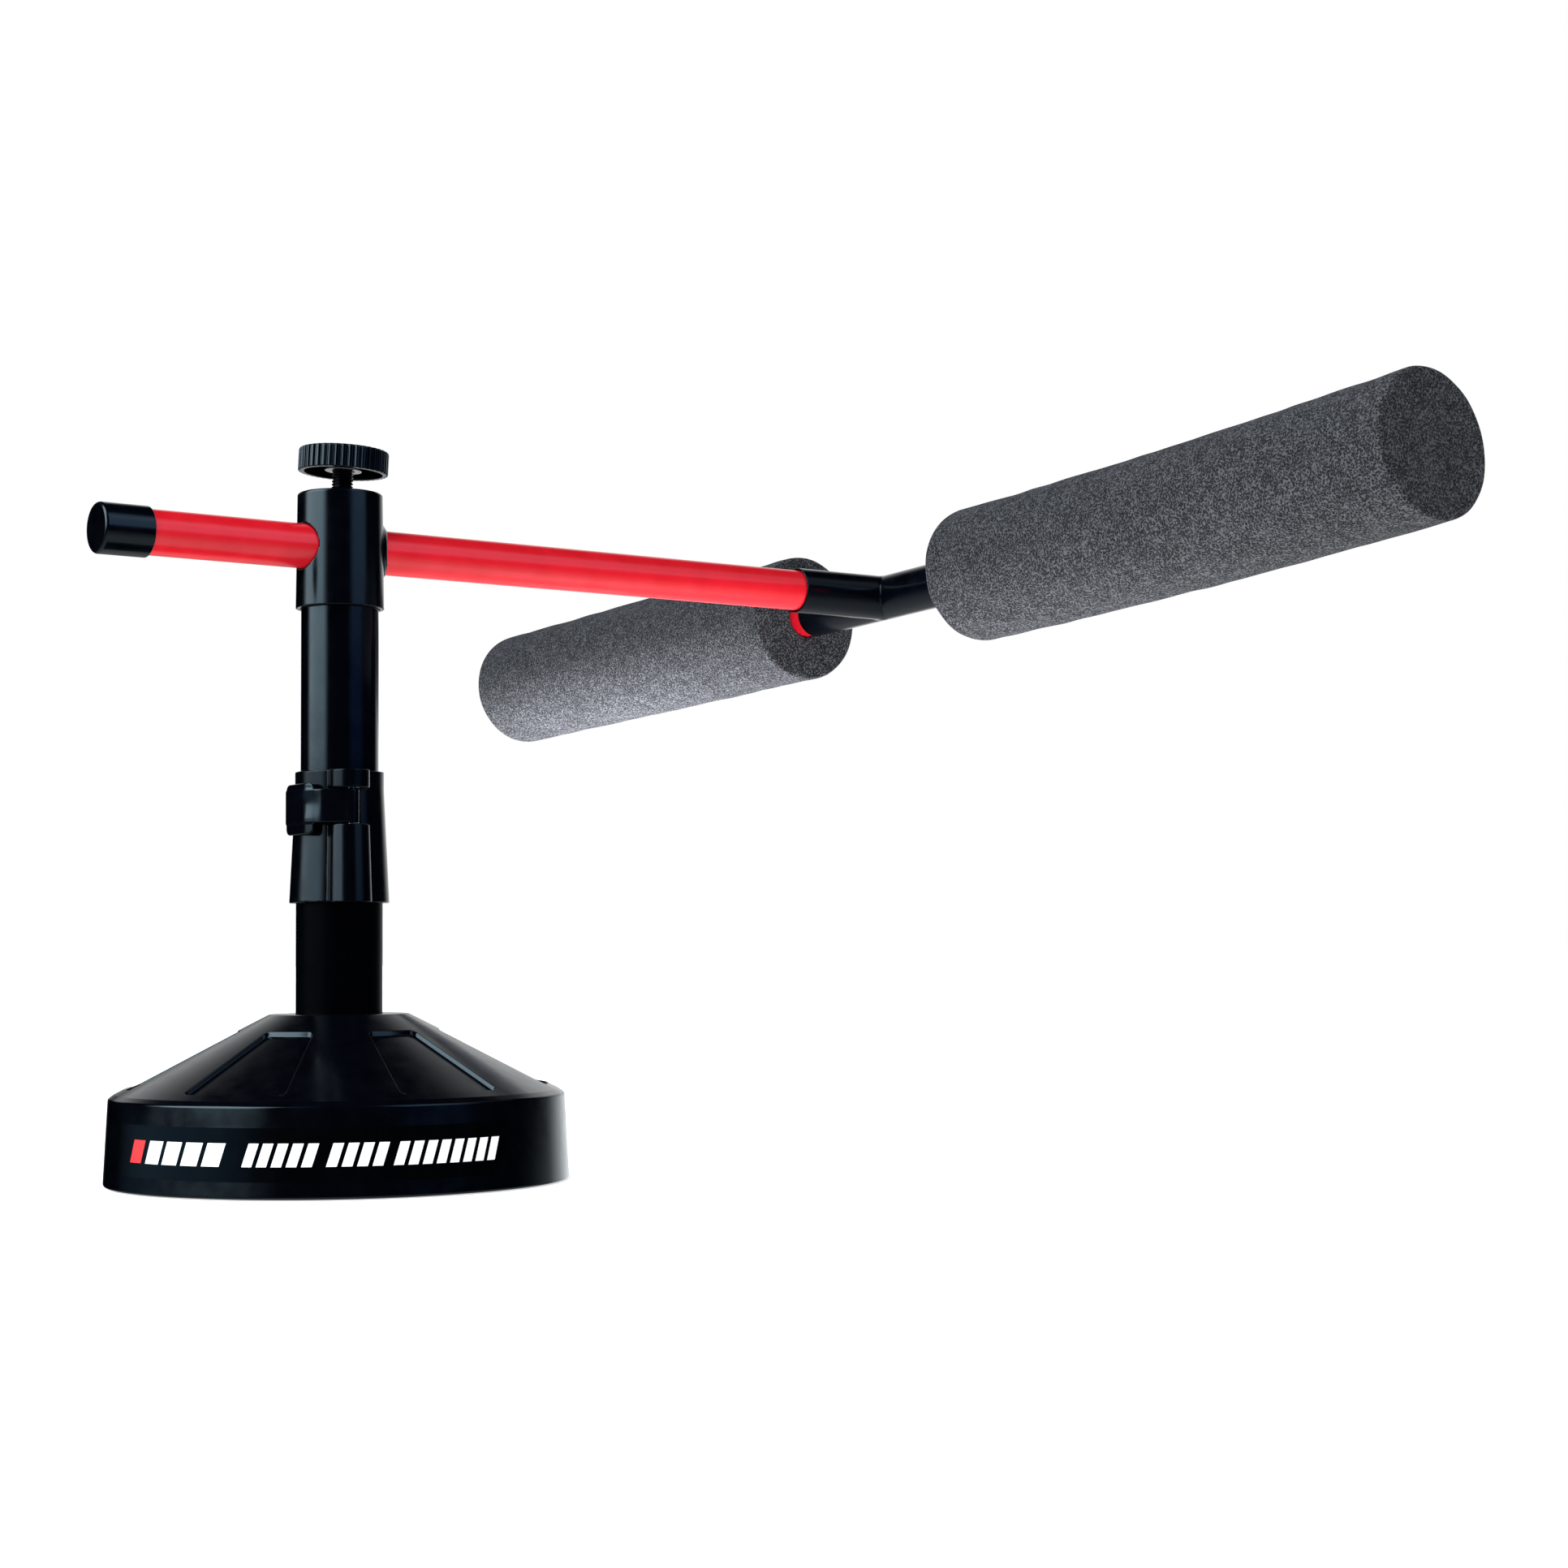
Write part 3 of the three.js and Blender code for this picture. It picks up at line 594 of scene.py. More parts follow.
def foot_angles(radius):
    """The angles of the foot's mesh lines at a radius, crowded along the panels' edges."""
    offsets = edge_steps()
    lines = []
    for index in range(PANEL.count):
        middle = FOOT_TURN + (index + 0.5) * PANEL_PITCH
        left = middle - PANEL.half - offsets[::-1] / radius
        right = middle + PANEL.half + offsets / radius
        inside = np.linspace(left[-1], right[0], 13)[1:-1]
        beyond = middle + PANEL_PITCH - PANEL.half - offsets[-1] / radius
        rib = np.linspace(right[-1], beyond, 13)[1:-1]
        lines.extend([left, inside, right, rib])
    return np.concatenate(lines)


def cone_radii():
    """Radii of the foot's mesh rings along the cone, crowded at the panels' ends."""
    offsets = edge_steps()
    near_outer = PANEL.outer + offsets
    near_inner = PANEL.inner - offsets[::-1]
    between = np.linspace(near_inner[-1], near_outer[0], 14)[1:-1]
    below = np.linspace(HUB_RADIUS + 3 * MM, near_inner[0], 5)[:-1]
    return np.sort(np.concatenate([near_outer, near_inner, between, below]))


def make_foot():
    """The foot's shell: an upright rim, a cone with sunk panels and a hub with the post's bore."""
    rim, wall, rim_top = FOOT_RADIUS, SHELL.wall, FOOT_RADIUS - SHELL.draft
    lift = span("base_shell", 2)[0]
    inner_top = FOOT_TOP - SHELL.roof
    corners = [
        (rim - wall, lift, 0.6 * MM),
        (rim, lift, 1.2 * MM),
        (rim_top, SHELL.rim_top, 1.5 * MM),
        (CONE_FOOT[0] + 0.6 * MM, CONE_FOOT[1] - 0.35 * MM, 1.2 * MM),
        (HUB_RADIUS, FOOT_TOP, 3 * MM),
        (POST_BORE, FOOT_TOP, 0.5 * MM),
        (POST_BORE, SLEEVE.low, 0.4 * MM),
        (SLEEVE.radius, SLEEVE.low, 0.4 * MM),
        (SLEEVE.radius, inner_top, 0.8 * MM),
        (HUB_RADIUS - 2 * MM, inner_top, 1 * MM),
        (*SHELL_INSIDE.eave, 0.8 * MM),
        (rim_top - wall, SHELL_INSIDE.rim_top, 0.8 * MM),
    ]
    outline, outward = rounded_loop(corners)
    cone_slope = (FOOT_TOP - CONE_FOOT[1]) / (CONE_FOOT[0] - HUB_RADIUS)
    off_cone = np.array([cone_slope, 1]) / math.hypot(cone_slope, 1)
    reach = CONE_FOOT[0] + 1 * MM
    on_cone = (HUB_RADIUS < outline[:, 0]) & (outline[:, 0] < reach) & (outward @ off_cone > 0.9999)
    low, high = np.flatnonzero(on_cone)[[0, -1]]
    start, end = outline[low], outline[high]
    radii = cone_radii()[::-1]
    radii = radii[(radii < start[0] - 0.1 * MM) & (radii > end[0] + 0.1 * MM)]
    added = start + ((radii - start[0]) / (end[0] - start[0]))[:, None] * (end - start)
    same = np.repeat(outward[low : low + 1], len(added), axis=0)
    outline = np.concatenate([outline[: low + 1], added, outline[high:]])
    outward = np.concatenate([outward[: low + 1], same, outward[high:]])
    points = []
    normals = []
    for (radius, height), (out, up) in zip(outline, outward):
        angles = foot_angles(radius)
        points.append(around(radius, angles, height))
        normals.append(around(out, angles, up))
    columns = len(points[0])
    points, normals = sink_panels(np.concatenate(points), np.concatenate(normals))
    shell = new_mesh("base_shell_fine", points, grid_faces(len(outline), columns), normals)
    finish_piece(shell, PLASTIC, "foot", "black_plastic", "base_shell")


GROOVE = Values(count=8, first=28 * MM, step=9 * MM, width=2.2 * MM, depth=0.8 * MM)


def make_sole():
    """The rubber pad under the foot, with concentric grooves."""
    radius = radius_of("non_slip_pad")
    low, high = span("non_slip_pad", 2)
    groove_top = low + GROOVE.depth
    corners = [(0, low, 0)]
    for index in range(GROOVE.count):
        inner = GROOVE.first + index * GROOVE.step
        outer = inner + GROOVE.width
        corners += [(inner, low, 0.3 * MM), (inner, groove_top, 0.3 * MM)]
        corners += [(outer, groove_top, 0.3 * MM), (outer, low, 0.3 * MM)]
    corners += [(radius, low, 0.5 * MM), (radius, high, 0.4 * MM), (0, high, 0)]
    pad = lathe("non_slip_pad_fine", corners, 160)
    finish_piece(pad, RUBBER, "foot", "rubber", "non_slip_pad")


# ---- label

LABEL = Values(
    middle=math.radians(-129), half=math.radians(56), low=8 * MM, high=31 * MM, corner=2.5 * MM)
FILM = in_mm(thickness=0.12, lift=0.03)
BAR = in_mm(low=14.5, high=24.5, slant=3.2, thickness=0.05, lift=0.16)
RED_BAR = (-87.5 * MM, 9 * MM)  # its start from the label's middle, and its width
# Groups of bars: where the first starts from the label's middle, how many, how wide, and their spacing.
LABEL_BARS = (
    (-75 * MM, 4, 9 * MM, 11.4 * MM),
    (-21 * MM, 5, 4.6 * MM, 6.6 * MM),
    (16 * MM, 4, 4.6 * MM, 6.6 * MM),
    (45 * MM, 8, 4.5 * MM, 6.5 * MM),
)


def foot_wall(height):
    """The rim's radius at a height."""
    return FOOT_RADIUS - SHELL.draft * height / SHELL.rim_top


def wall_patch(name, outline_at, thickness, lift, columns, rows):
    """A thin closed patch on the rim. outline_at(u, v) gives its (angle, height) for u and v from 0 to 1."""
    u, v = np.meshgrid(np.linspace(0, 1, columns), np.linspace(0, 1, rows), indexing="ij")
    angle, height = outline_at(u.ravel(), v.ravel())
    wall = foot_wall(height)
    points = [around(wall + depth, angle, height) for depth in (lift + thickness, lift)]
    normals = [sign * around(1, angle, 0) for sign in (1, -1)]
    count = columns * rows
    top = grid_faces(columns, rows, False)
    grid = np.arange(count).reshape(columns, rows)
    border = np.concatenate([grid[:, 0], grid[-1, 1:], grid[-2::-1, -1], grid[0, -2:0:-1]])
    before = np.roll(border, 1)
    edge = np.stack([before, before + count, border + count, border], axis=1)
    faces = np.concatenate([top[:, ::-1], top + count, edge])
    return new_mesh(name, np.concatenate(points), faces, np.concatenate(normals))


def film_outline(u, v):
    """The label film's outline: a strip round the rim with rounded corners."""
    corner, half = LABEL.corner, LABEL.half * FOOT_RADIUS
    along = (2 * u - 1) * half
    near_end = np.maximum(np.abs(along) - (half - corner), 0)
    narrow = corner - np.sqrt(np.maximum(corner**2 - near_end**2, 0))
    height = (LABEL.low + narrow) + v * (LABEL.high - LABEL.low - 2 * narrow)
    return LABEL.middle + along / FOOT_RADIUS, height


def make_bar(name, start, width, material, slot_name):
    """A slanted bar printed on the label."""
    def outline(u, v):
        along = start + u * width + v * BAR.slant
        return LABEL.middle + along / FOOT_RADIUS, BAR.low + v * (BAR.high - BAR.low)

    bar = wall_patch(name, outline, BAR.thickness, BAR.lift, 8, 4)
    finish_piece(bar, material, "foot", slot_name)


def make_label():
    """A dark film on the rim's front left, with plain slanted bars for its printing."""
    sheet = wall_patch("label_film_patch", film_outline, FILM.thickness, FILM.lift, 160, 6)
    finish_piece(sheet, LABEL_FILM, "foot", "label_film", "front_label")
    make_bar("label_bar_red", *RED_BAR, LABEL_RED, "label_red")
    bars = [(start + k * step, width) for start, count, width, step in LABEL_BARS for k in range(count)]
    for number, (start, width) in enumerate(bars, 1):
        make_bar(f"label_bar_white_{number}", start, width, LABEL_WHITE, "label_white")


# ---- post

TUBE_EDGE = 0.3 * MM


def tube_corners(inner, outer, low, high):
    """The outline of a tube's wall."""
    places = ((inner, low), (outer, low), (outer, high), (inner, high))
    return [(radius, height, TUBE_EDGE) for radius, height in places]


def make_post():
    """The two tubes that the post's height is set with."""
    lower_radius, upper_radius = radius_of("lower_tube"), radius_of("upper_tube")
    corners = tube_corners(upper_radius + FIT, lower_radius, *span("lower_tube", 2))
    lower = lathe("lower_tube_fine", corners)
    finish_piece(lower, MATT_TUBE, "foot", "black_tube", "lower_tube")
    corners = tube_corners(upper_radius - TUBE_WALL, upper_radius, *span("upper_tube", 2))
    upper = lathe("upper_tube_fine", corners)
    finish_piece(upper, BLACK_TUBE, "mast", "black_tube", "upper_tube")


# ---- lever clamp, built with its pin on +X and then turned

COLLAR_LOW, COLLAR_HIGH = span("clamp_collar", 2)
COLLAR = Values(turn=math.radians(-105), foot=23.1 * MM, top=20.5 * MM)
SLOT_LOW, SLOT_HIGH = 164.6 * MM, 181.3 * MM  # the lever's room between the two blocks of the pivot housing
HOUSING = Values(start=5 * MM, reach=30.2 * MM, half=9.3 * MM, flare=0.08)
WINDOW = in_mm(start=15, end=24, half=5)  # through it the cam reaches the pressure pad
PIN = Vector((25.2 * MM, -0.4 * MM, 0))
PIN_RADIUS, PIN_HOLE, PIN_FLOOR = 1.5 * MM, 1.8 * MM, 156.7 * MM


def off_pin(p, radius, offset=0):
    """Distance outside an upright bar that is centred on the pin, or nearer the post by the offset."""
    return np.hypot(p[:, 0] - PIN.x + offset, p[:, 1] - PIN.y) - radius


def housing_field(p, low, high, flare):
    """A block of the pivot housing, which points along +X and widens towards its foot."""
    x, y, z = p.T
    scale = 1 + flare * np.clip((high - z) / (high - low), 0, 1)
    along = slab(x / scale, HOUSING.start, HOUSING.reach)
    across = np.abs(y / scale) - HOUSING.half
    plan = round_common(along, across, HOUSING.half - 0.1 * MM)
    return round_common(plan, slab(z, low, high), 0.6 * MM)


def collar_field(p):
    """The collar: a skirt that widens downwards, the pivot housing round the lever, and the bores."""
    x, y, z = p.T
    radius = np.hypot(x, y)
    height = slab(z, COLLAR_LOW, COLLAR_HIGH)
    lean = (COLLAR.foot - COLLAR.top) / (SLOT_HIGH - COLLAR_LOW)
    skirt = radius - (COLLAR.top + lean * np.maximum(SLOT_HIGH - z, 0))
    body = round_common(skirt, height, 0.7 * MM)
    for low, high, flare in ((COLLAR_LOW, SLOT_LOW, HOUSING.flare), (SLOT_HIGH, COLLAR_HIGH, 0)):
        body = round_union(body, housing_field(p, low, high, flare), 0.5 * MM)
    body = round_common(body, height, 0.5 * MM)
    tube_top = span("lower_tube", 2)[1] + GAP
    body = round_cut(body, round_common(radius - POST_BORE, z - tube_top, 0.1 * MM), 0.4 * MM)
    body = round_cut(body, radius - (radius_of("upper_tube") + FIT), 0.4 * MM)
    window = round_common(slab(x, WINDOW.start, WINDOW.end), np.abs(y) - WINDOW.half, 0.5 * MM)
    window = round_common(window, slab(z, SLOT_LOW, SLOT_HIGH), 0.5 * MM)
    body = round_cut(body, window, 0.3 * MM)
    return round_cut(body, np.maximum(off_pin(p, PIN_HOLE), PIN_FLOOR - z), 0.3 * MM)


LEVER = in_mm(cam=4, offset=0.4, inner=21.9, bend=6)
LEVER_LOW, LEVER_HIGH = SLOT_LOW + 2 * GAP, SLOT_HIGH - 2 * GAP
TAB = Values(start=-38, end=-96, radius=23 * MM)  # degrees round the post, and the tab's middle radius
HOLLOW = Values(start=-30, end=-62, fade=12, height=174 * MM, half=7 * MM, depth=0.5 * MM)
FRONT_FACE = (math.radians(-20), 27.45 * MM)
SIDE_FACE = (math.radians(-77.4), 23.5 * MM)


def beyond(p, face):
    """Distance past an upright plane given by its direction and its distance from the post's axis."""
    direction, reach = face
    return p[:, 0] * math.cos(direction) + p[:, 1] * math.sin(direction) - reach


def lever_field(p):
    """The lever: a cam on the pin, a flat arm across the collar's front and a thumb tab round its side."""
    x, y, z = p.T
    radius = np.hypot(x, y)
    angle = np.degrees(np.arctan2(y, x))
    height = slab(z, LEVER_LOW, LEVER_HIGH)
    barrel = round_common(off_pin(p, LEVER.cam, LEVER.offset), height, 0.6 * MM)
    outside = round_common(beyond(p, FRONT_FACE), beyond(p, SIDE_FACE), LEVER.bend)
    hollow = np.clip(1 - ((z - HOLLOW.height) / HOLLOW.half) ** 2, 0, 1) ** 2
    for inside in (HOLLOW.start - angle, angle - HOLLOW.end):
        hollow = hollow * np.clip(inside / HOLLOW.fade, 0, 1)
    across = np.maximum(outside + HOLLOW.depth * hollow, LEVER.inner - radius)
    past_end = np.radians(TAB.end - angle) * TAB.radius
    before_start = np.radians(angle - TAB.start) * TAB.radius
    arm = round_common(np.maximum(across, y - PIN.y), height, 0.6 * MM)
    outline = round_common(past_end, slab(z, *span("clamp_lever", 2)), 3 * MM)
    tab = round_common(across, round_common(outline, before_start, 2.5 * MM), 0.7 * MM)
    body = round_union(round_union(barrel, np.maximum(arm, past_end), 0.5 * MM), tab, 0.8 * MM)
    return round_cut(body, off_pin(p, PIN_HOLE), 0.2 * MM)


def make_clamp():
    """The collar, the lever and the lever's pin."""
    turn = Matrix.Rotation(COLLAR.turn, 4, "Z")
    low, high = (-26 * MM, -26 * MM, COLLAR_LOW - NET_MARGIN), (35 * MM, 26 * MM, COLLAR_HIGH + NET_MARGIN)
    collar = net_solid("clamp_collar_fine", collar_field, low, high, turn)
    finish_piece(collar, DULL_PLASTIC, "foot", "black_plastic", "clamp_collar")
    low, high = (-6 * MM, -27 * MM, 158.5 * MM), (31.5 * MM, 6 * MM, 185 * MM)
    lever = net_solid("clamp_lever_fine", lever_field, low, high, turn, 0.4 * MM)
    finish_piece(lever, PLASTIC, "lever", "black_plastic", "clamp_lever")
    low, high = span("clamp_lever_pin", 2)
    corners = [(0, low, 0), (PIN_RADIUS, low, 0.3 * MM), (PIN_RADIUS, high, 0.4 * MM), (0, high, 0)]
    pin = lathe("clamp_lever_pin_fine", corners, 32, turn @ Matrix.Translation(PIN))
    finish_piece(pin, ZINC, "foot", "zinc", "clamp_lever_pin")


# ---- arm head and thumb screw

HEAD_LOW, HEAD_HIGH = span("arm_head", 2)
HEAD = in_mm(foot=20.5, top=19.8, boss=11.9, boss_reach=21.7, fillet=3.5)
HEAD_ROOM = in_mm(tube_top=281.3, chamber=10.6, chamber_top=317.8, stud=6.4)
SCREW = Values(turn=math.radians(53), height=273.5 * MM, hole=2.1 * MM, start=10 * MM, seat=20.8 * MM)


def head_field(p):
    """The head: a sleeve that narrows upwards, the arm's boss on its +X side, and the bores."""
    x, y, z = p.T
    radius, off_arm = np.hypot(x, y), np.hypot(y, z - ARM_HEIGHT)
    outer = HEAD.foot + (HEAD.top - HEAD.foot) * (z - HEAD_LOW) / (HEAD_HIGH - HEAD_LOW)
    body = round_common(radius - outer, HEAD_LOW - z, 0.25 * MM)
    body = round_common(body, z - HEAD_HIGH, 1.2 * MM)
    boss = round_common(off_arm - HEAD.boss, radius - HEAD.boss_reach, 0.8 * MM)
    body = round_union(body, np.maximum(boss, -x), HEAD.fillet)
    tube_room = round_common(radius - radius_of("upper_tube") - GAP, z - HEAD_ROOM.tube_top, 0.1 * MM)
    chamber = round_common(radius - HEAD_ROOM.chamber, slab(z, ARM_HEIGHT, HEAD_ROOM.chamber_top), 0.5 * MM)
    stud_hole = np.maximum(radius - HEAD_ROOM.stud, ARM_HEIGHT - z)
    along = x * math.cos(SCREW.turn) + y * math.sin(SCREW.turn)
    aside = y * math.cos(SCREW.turn) - x * math.sin(SCREW.turn)
    screw_hole = np.maximum(np.hypot(aside, z - SCREW.height) - SCREW.hole, SCREW.start - along)
    body = round_cut(body, off_arm - (ARM_RADIUS + FIT), 0.6 * MM)
    for hole, rounding in ((tube_room, 0.3), (chamber, 0.3), (stud_hole, 0.5), (screw_hole, 0.3)):
        body = round_cut(body, hole, rounding * MM)
    return body


def make_head():
    """The head and the small screw that holds it on the upper tube."""
    reach = 24 * MM
    low, high = (-reach, -reach, HEAD_LOW - NET_MARGIN), (reach, reach, HEAD_HIGH + NET_MARGIN)
    head = net_solid("arm_head_fine", head_field, low, high)
    finish_piece(head, PLASTIC, "mast", "black_plastic", "arm_head")
    seat = SCREW.seat
    top, socket_floor = seat + 1.6 * MM, seat + 0.5 * MM
    corners = [
        (0, 15.2 * MM, 0), (1.8 * MM, 16.2 * MM, 0.3 * MM), (1.8 * MM, seat, 0.2 * MM),
        (3.6 * MM, seat, 0.2 * MM), (3.3 * MM, top, 0.9 * MM), (1.3 * MM, top, 0.15 * MM),
        (1.3 * MM, socket_floor, 0.15 * MM), (0, socket_floor, 0)]
    outward = (math.cos(SCREW.turn), math.sin(SCREW.turn), 0)
    screw = lathe("head_screw_fine", corners, 48, axis_frame((0, 0, SCREW.height), outward))
    finish_piece(screw, BLACK_STEEL, "mast", "black_steel", "head_screw")


KNOB_LOW, KNOB_HIGH = 331 * MM, 341.8 * MM
KNOB_CEILING = KNOB_HIGH - 2.6 * MM
KNOB_RADIUS = 21.1 * MM
FLUTE = Values(count=40, depth=0.8 * MM, start=1.6 * MM, fade=1.2 * MM, sharpness=2.2)
STUD = in_mm(radius=5, low=308.5, pitch=1.5, depth=0.8)
STUD_HOLE = STUD.radius + GAP
WASHER = in_mm(radius=8.7, low=332, high=333.6)
LEAN_PIVOT = Vector(JOINT["knob_turn"]["pos_m"])
LEAN_TURN = Vector((0, 0, 1)).rotation_difference(Vector(JOINT["knob_turn"]["axis"])).to_matrix().to_4x4()
LEANING = Matrix.Translation(LEAN_PIVOT) @ LEAN_TURN @ Matrix.Translation(-LEAN_PIVOT)


def fluted(points, normals):
    """Presses flutes into the knob's outer wall."""
    radius, angle = polar(points)
    weight = np.clip((radius - (KNOB_RADIUS - FLUTE.start)) / FLUTE.fade, 0, 1)

    def groove(at):
        return FLUTE.depth * (0.5 - 0.5 * np.cos(FLUTE.count * at)) ** FLUTE.sharpness

    step = 1e-4
    slope = (groove(angle + step) - groove(angle - step)) / (2 * step)
    radius = radius - weight * groove(angle)
    out = normals[:, 0] * np.cos(angle) + normals[:, 1] * np.sin(angle)
    side = out * weight * slope / np.maximum(radius, 1e-6)
    normals = normals + around(side, angle + TAU / 4, 0)
    return around(radius, angle, points[:, 2]), unit(normals)


def threaded(points, normals):
    """Winds a screw thread into the side of a stud."""
    radius, angle = polar(points)
    turn = (points[:, 2] / STUD.pitch - angle / TAU) % 1.0
    depth = STUD.depth * np.clip(1.35 * np.abs(2 * turn - 1) - 0.2, 0, 1)
    radius = np.where(radius > STUD.radius - 0.5 * MM, radius - depth, radius)
    return around(radius, angle, points[:, 2]), normals


def make_knob():
    """The thumb screw's hollow knob."""
    hub, hub_low = 7 * MM, WASHER.high + GAP
    rim_inner, rim = KNOB_RADIUS - 3.1 * MM, KNOB_RADIUS - 0.1 * MM
    corners = [
        (STUD_HOLE, hub_low, 0.2 * MM),
        (hub, hub_low, 0.4 * MM),
        (hub, KNOB_CEILING, 1 * MM),
        (rim_inner, KNOB_CEILING, 1 * MM),
        (rim_inner + 0.3 * MM, KNOB_LOW, 0.4 * MM),
        (rim, KNOB_LOW, 0.5 * MM),
        (rim, KNOB_HIGH, 1.1 * MM),
        (KNOB_RADIUS - 3.5 * MM, KNOB_HIGH, 0.6 * MM),
        (KNOB_RADIUS - 5 * MM, KNOB_HIGH - 0.9 * MM, 1 * MM),
        (0, KNOB_HIGH - 0.5 * MM, 0),
        (0, KNOB_CEILING, 0),
        (STUD_HOLE, KNOB_CEILING, 0.1 * MM),
    ]
    knob = lathe("knob_fine", corners, FLUTE.count * 16, LEANING, fluted)
    finish_piece(knob, PLASTIC, "thumb_screw", "black_plastic", "knob")


def make_stud():
    """The threaded stud, shaded by its faces, and the washer under the knob's hub."""
    low, high, radius = STUD.low, KNOB_CEILING - GAP, STUD.radius
    corners = [
        (0, low, 0), (radius - 1 * MM, low, 0.3 * MM), (radius, low + 1 * MM, 0.3 * MM),
        (radius, high, 0.2 * MM), (0, high, 0)]
    outline, outward = rounded_loop(corners)
    outline, outward = finer(outline, outward, STUD.pitch / 10, lambda p: p[0] > radius - 0.05 * MM)
    stud = turn_outline("knob_stud_fine", outline, outward, 48, LEANING, threaded)
    stud.data.attributes.remove(stud.data.attributes["custom_normal"])
    finish_piece(stud, BLACK_STEEL, "thumb_screw", "black_steel", "knob_stud")
    corners = tube_corners(STUD_HOLE, WASHER.radius, WASHER.low, WASHER.high)
    washer = lathe("knob_washer_fine", corners, 96, LEANING)
    finish_piece(washer, ZINC, "thumb_screw", "zinc", "knob_washer")


# ---- arm

def make_arm():
    """The red arm tube and the cap on its free end."""
    along_arm = axis_frame((0, 0, ARM_HEIGHT), (1, 0, 0))
    corners = tube_corners(ARM_RADIUS - ARM_WALL, ARM_RADIUS, *span("arm_tube", 0))
    tube = lathe("arm_tube_fine", corners, 128, along_arm)
    finish_piece(tube, RED_TUBE, "arm", "red_tube", "arm_tube")
    tube.visible_glossy = False  # in the photo the black parts mirror no red
    rear, front = span("arm_end_cap", 0)
    radius, bore, floor = radius_of("arm_end_cap"), ARM_RADIUS + GAP, rear + 2.2 * MM
    corners = [
        (0, rear, 0), (radius, rear, 1.6 * MM), (radius, front, 0.35 * MM), (bore, front, 0.2 * MM),
        (bore, floor, 0.2 * MM), (0, floor, 0)]
    end_cap = lathe("arm_end_cap_fine", corners, 128, along_arm)
    finish_piece(end_cap, PLASTIC, "arm", "black_plastic", "arm_end_cap")


# ---- tee, bar and foam

BAR_FRAME = Matrix.Translation(TEE_CENTRE) @ Matrix.Rotation(-BAR_ROLL, 4, "X")
BAR_WAYS = {"front": (0, -1, 0), "rear": (0, 1, 0)}
BAR_SIDES = {side: BAR_FRAME @ axis_frame((0, 0, 0), way) for side, way in BAR_WAYS.items()}
BAR_END = 220 * MM
TEE = in_mm(radius=11.8, arm_leg=60, bar_leg=62, stop=14)
FOAM_ROLL = in_mm(radius=34.5, length=305, bore=155)
FOAM_BEND = 0.156  # curvature of the front roll, per metre
FOAM_SKIN = Values(waves=26, rates=(60, 420), height=0.035 * MM)  # rates in radians per metre


def tee_field(p):
    """The tee: a leg on the arm and one across it, with sockets for the arm and the bar."""
    x, y, z = p.T
    socket = ARM_RADIUS + GAP
    bar = rod(p, 1, TEE.radius, -TEE.bar_leg, TEE.bar_leg, 0.5 * MM)
    leg = rod(p, 0, TEE.radius, -TEE.arm_leg, 0, 0.5 * MM)
    body = round_union(bar, leg, 0.8 * MM)
    arm_stop = span("arm_tube", 0)[1] - TEE_CENTRE.x + GAP
    arm_socket = np.maximum(np.hypot(y, z) - socket, x - arm_stop)
    bar_socket = np.maximum(np.hypot(x, z) - socket, TEE.stop - np.abs(y))
    return round_cut(round_cut(body, arm_socket, 0.3 * MM), bar_socket, 0.3 * MM)


def foam_shape(start, curvature, seed):
    """Bends a roll upwards from its start, its bore staying straight, and makes its skin slightly uneven."""
    random = np.random.default_rng(seed)
    waves = []
    for _ in range(FOAM_SKIN.waves):
        direction = random.uniform(-1, 1, 3)
        rate = random.uniform(*FOAM_SKIN.rates)
        waves.append((unit(direction), rate, random.uniform(0, TAU)))

    def shape(points, normals):
        swell = sum(np.sin(points @ direction * rate + phase) for direction, rate, phase in waves)
        on_skin = np.hypot(points[:, 0], points[:, 1]) > ARM_RADIUS + 3 * MM
        points = points + normals * (swell * FOAM_SKIN.height * on_skin)[:, None]
        across, up, along = points[:, 0], points[:, 1], points[:, 2] - start
        angle = curvature * along
        bent_up = up * np.cos(angle) + curvature * along**2 / 2
        bent = np.stack([across, bent_up, start + along - up * np.sin(angle)], axis=1)
        off_bar = np.hypot(across, up) - ARM_RADIUS
        share = np.clip(off_bar / (8 * MM), 0, 1) * (off_bar > 2 * MM)
        share = np.where(along > FOAM_ROLL.bore + 1 * MM, 1, share)
        return points + (bent - points) * share[:, None], normals

    return shape


def make_foam(side, start, curvature, seed):
    """A foam roll with a blind bore for the bar."""
    radius, bore = FOAM_ROLL.radius, ARM_RADIUS + GAP
    end, bore_end = start + FOAM_ROLL.length, start + FOAM_ROLL.bore
    corners = [
        (bore, start, 0.8 * MM), (radius, start, 2.2 * MM), (radius, end, 2 * MM), (0, end, 0),
        (0, bore_end, 0), (bore, bore_end, 0.5 * MM)]
    outline, outward = rounded_loop(corners)
    outline, outward = finer(outline, outward, 2.2 * MM, lambda p: p[0] > bore + 0.3 * MM or p[1] > end - MM)
    shape = foam_shape(start, curvature, seed)
    roll = turn_outline(f"foam_roll_{side}_fine", outline, outward, 144, BAR_SIDES[side], shape)
    finish_piece(roll, FOAM, "crossbar", "foam", f"foam_roll_{side}")


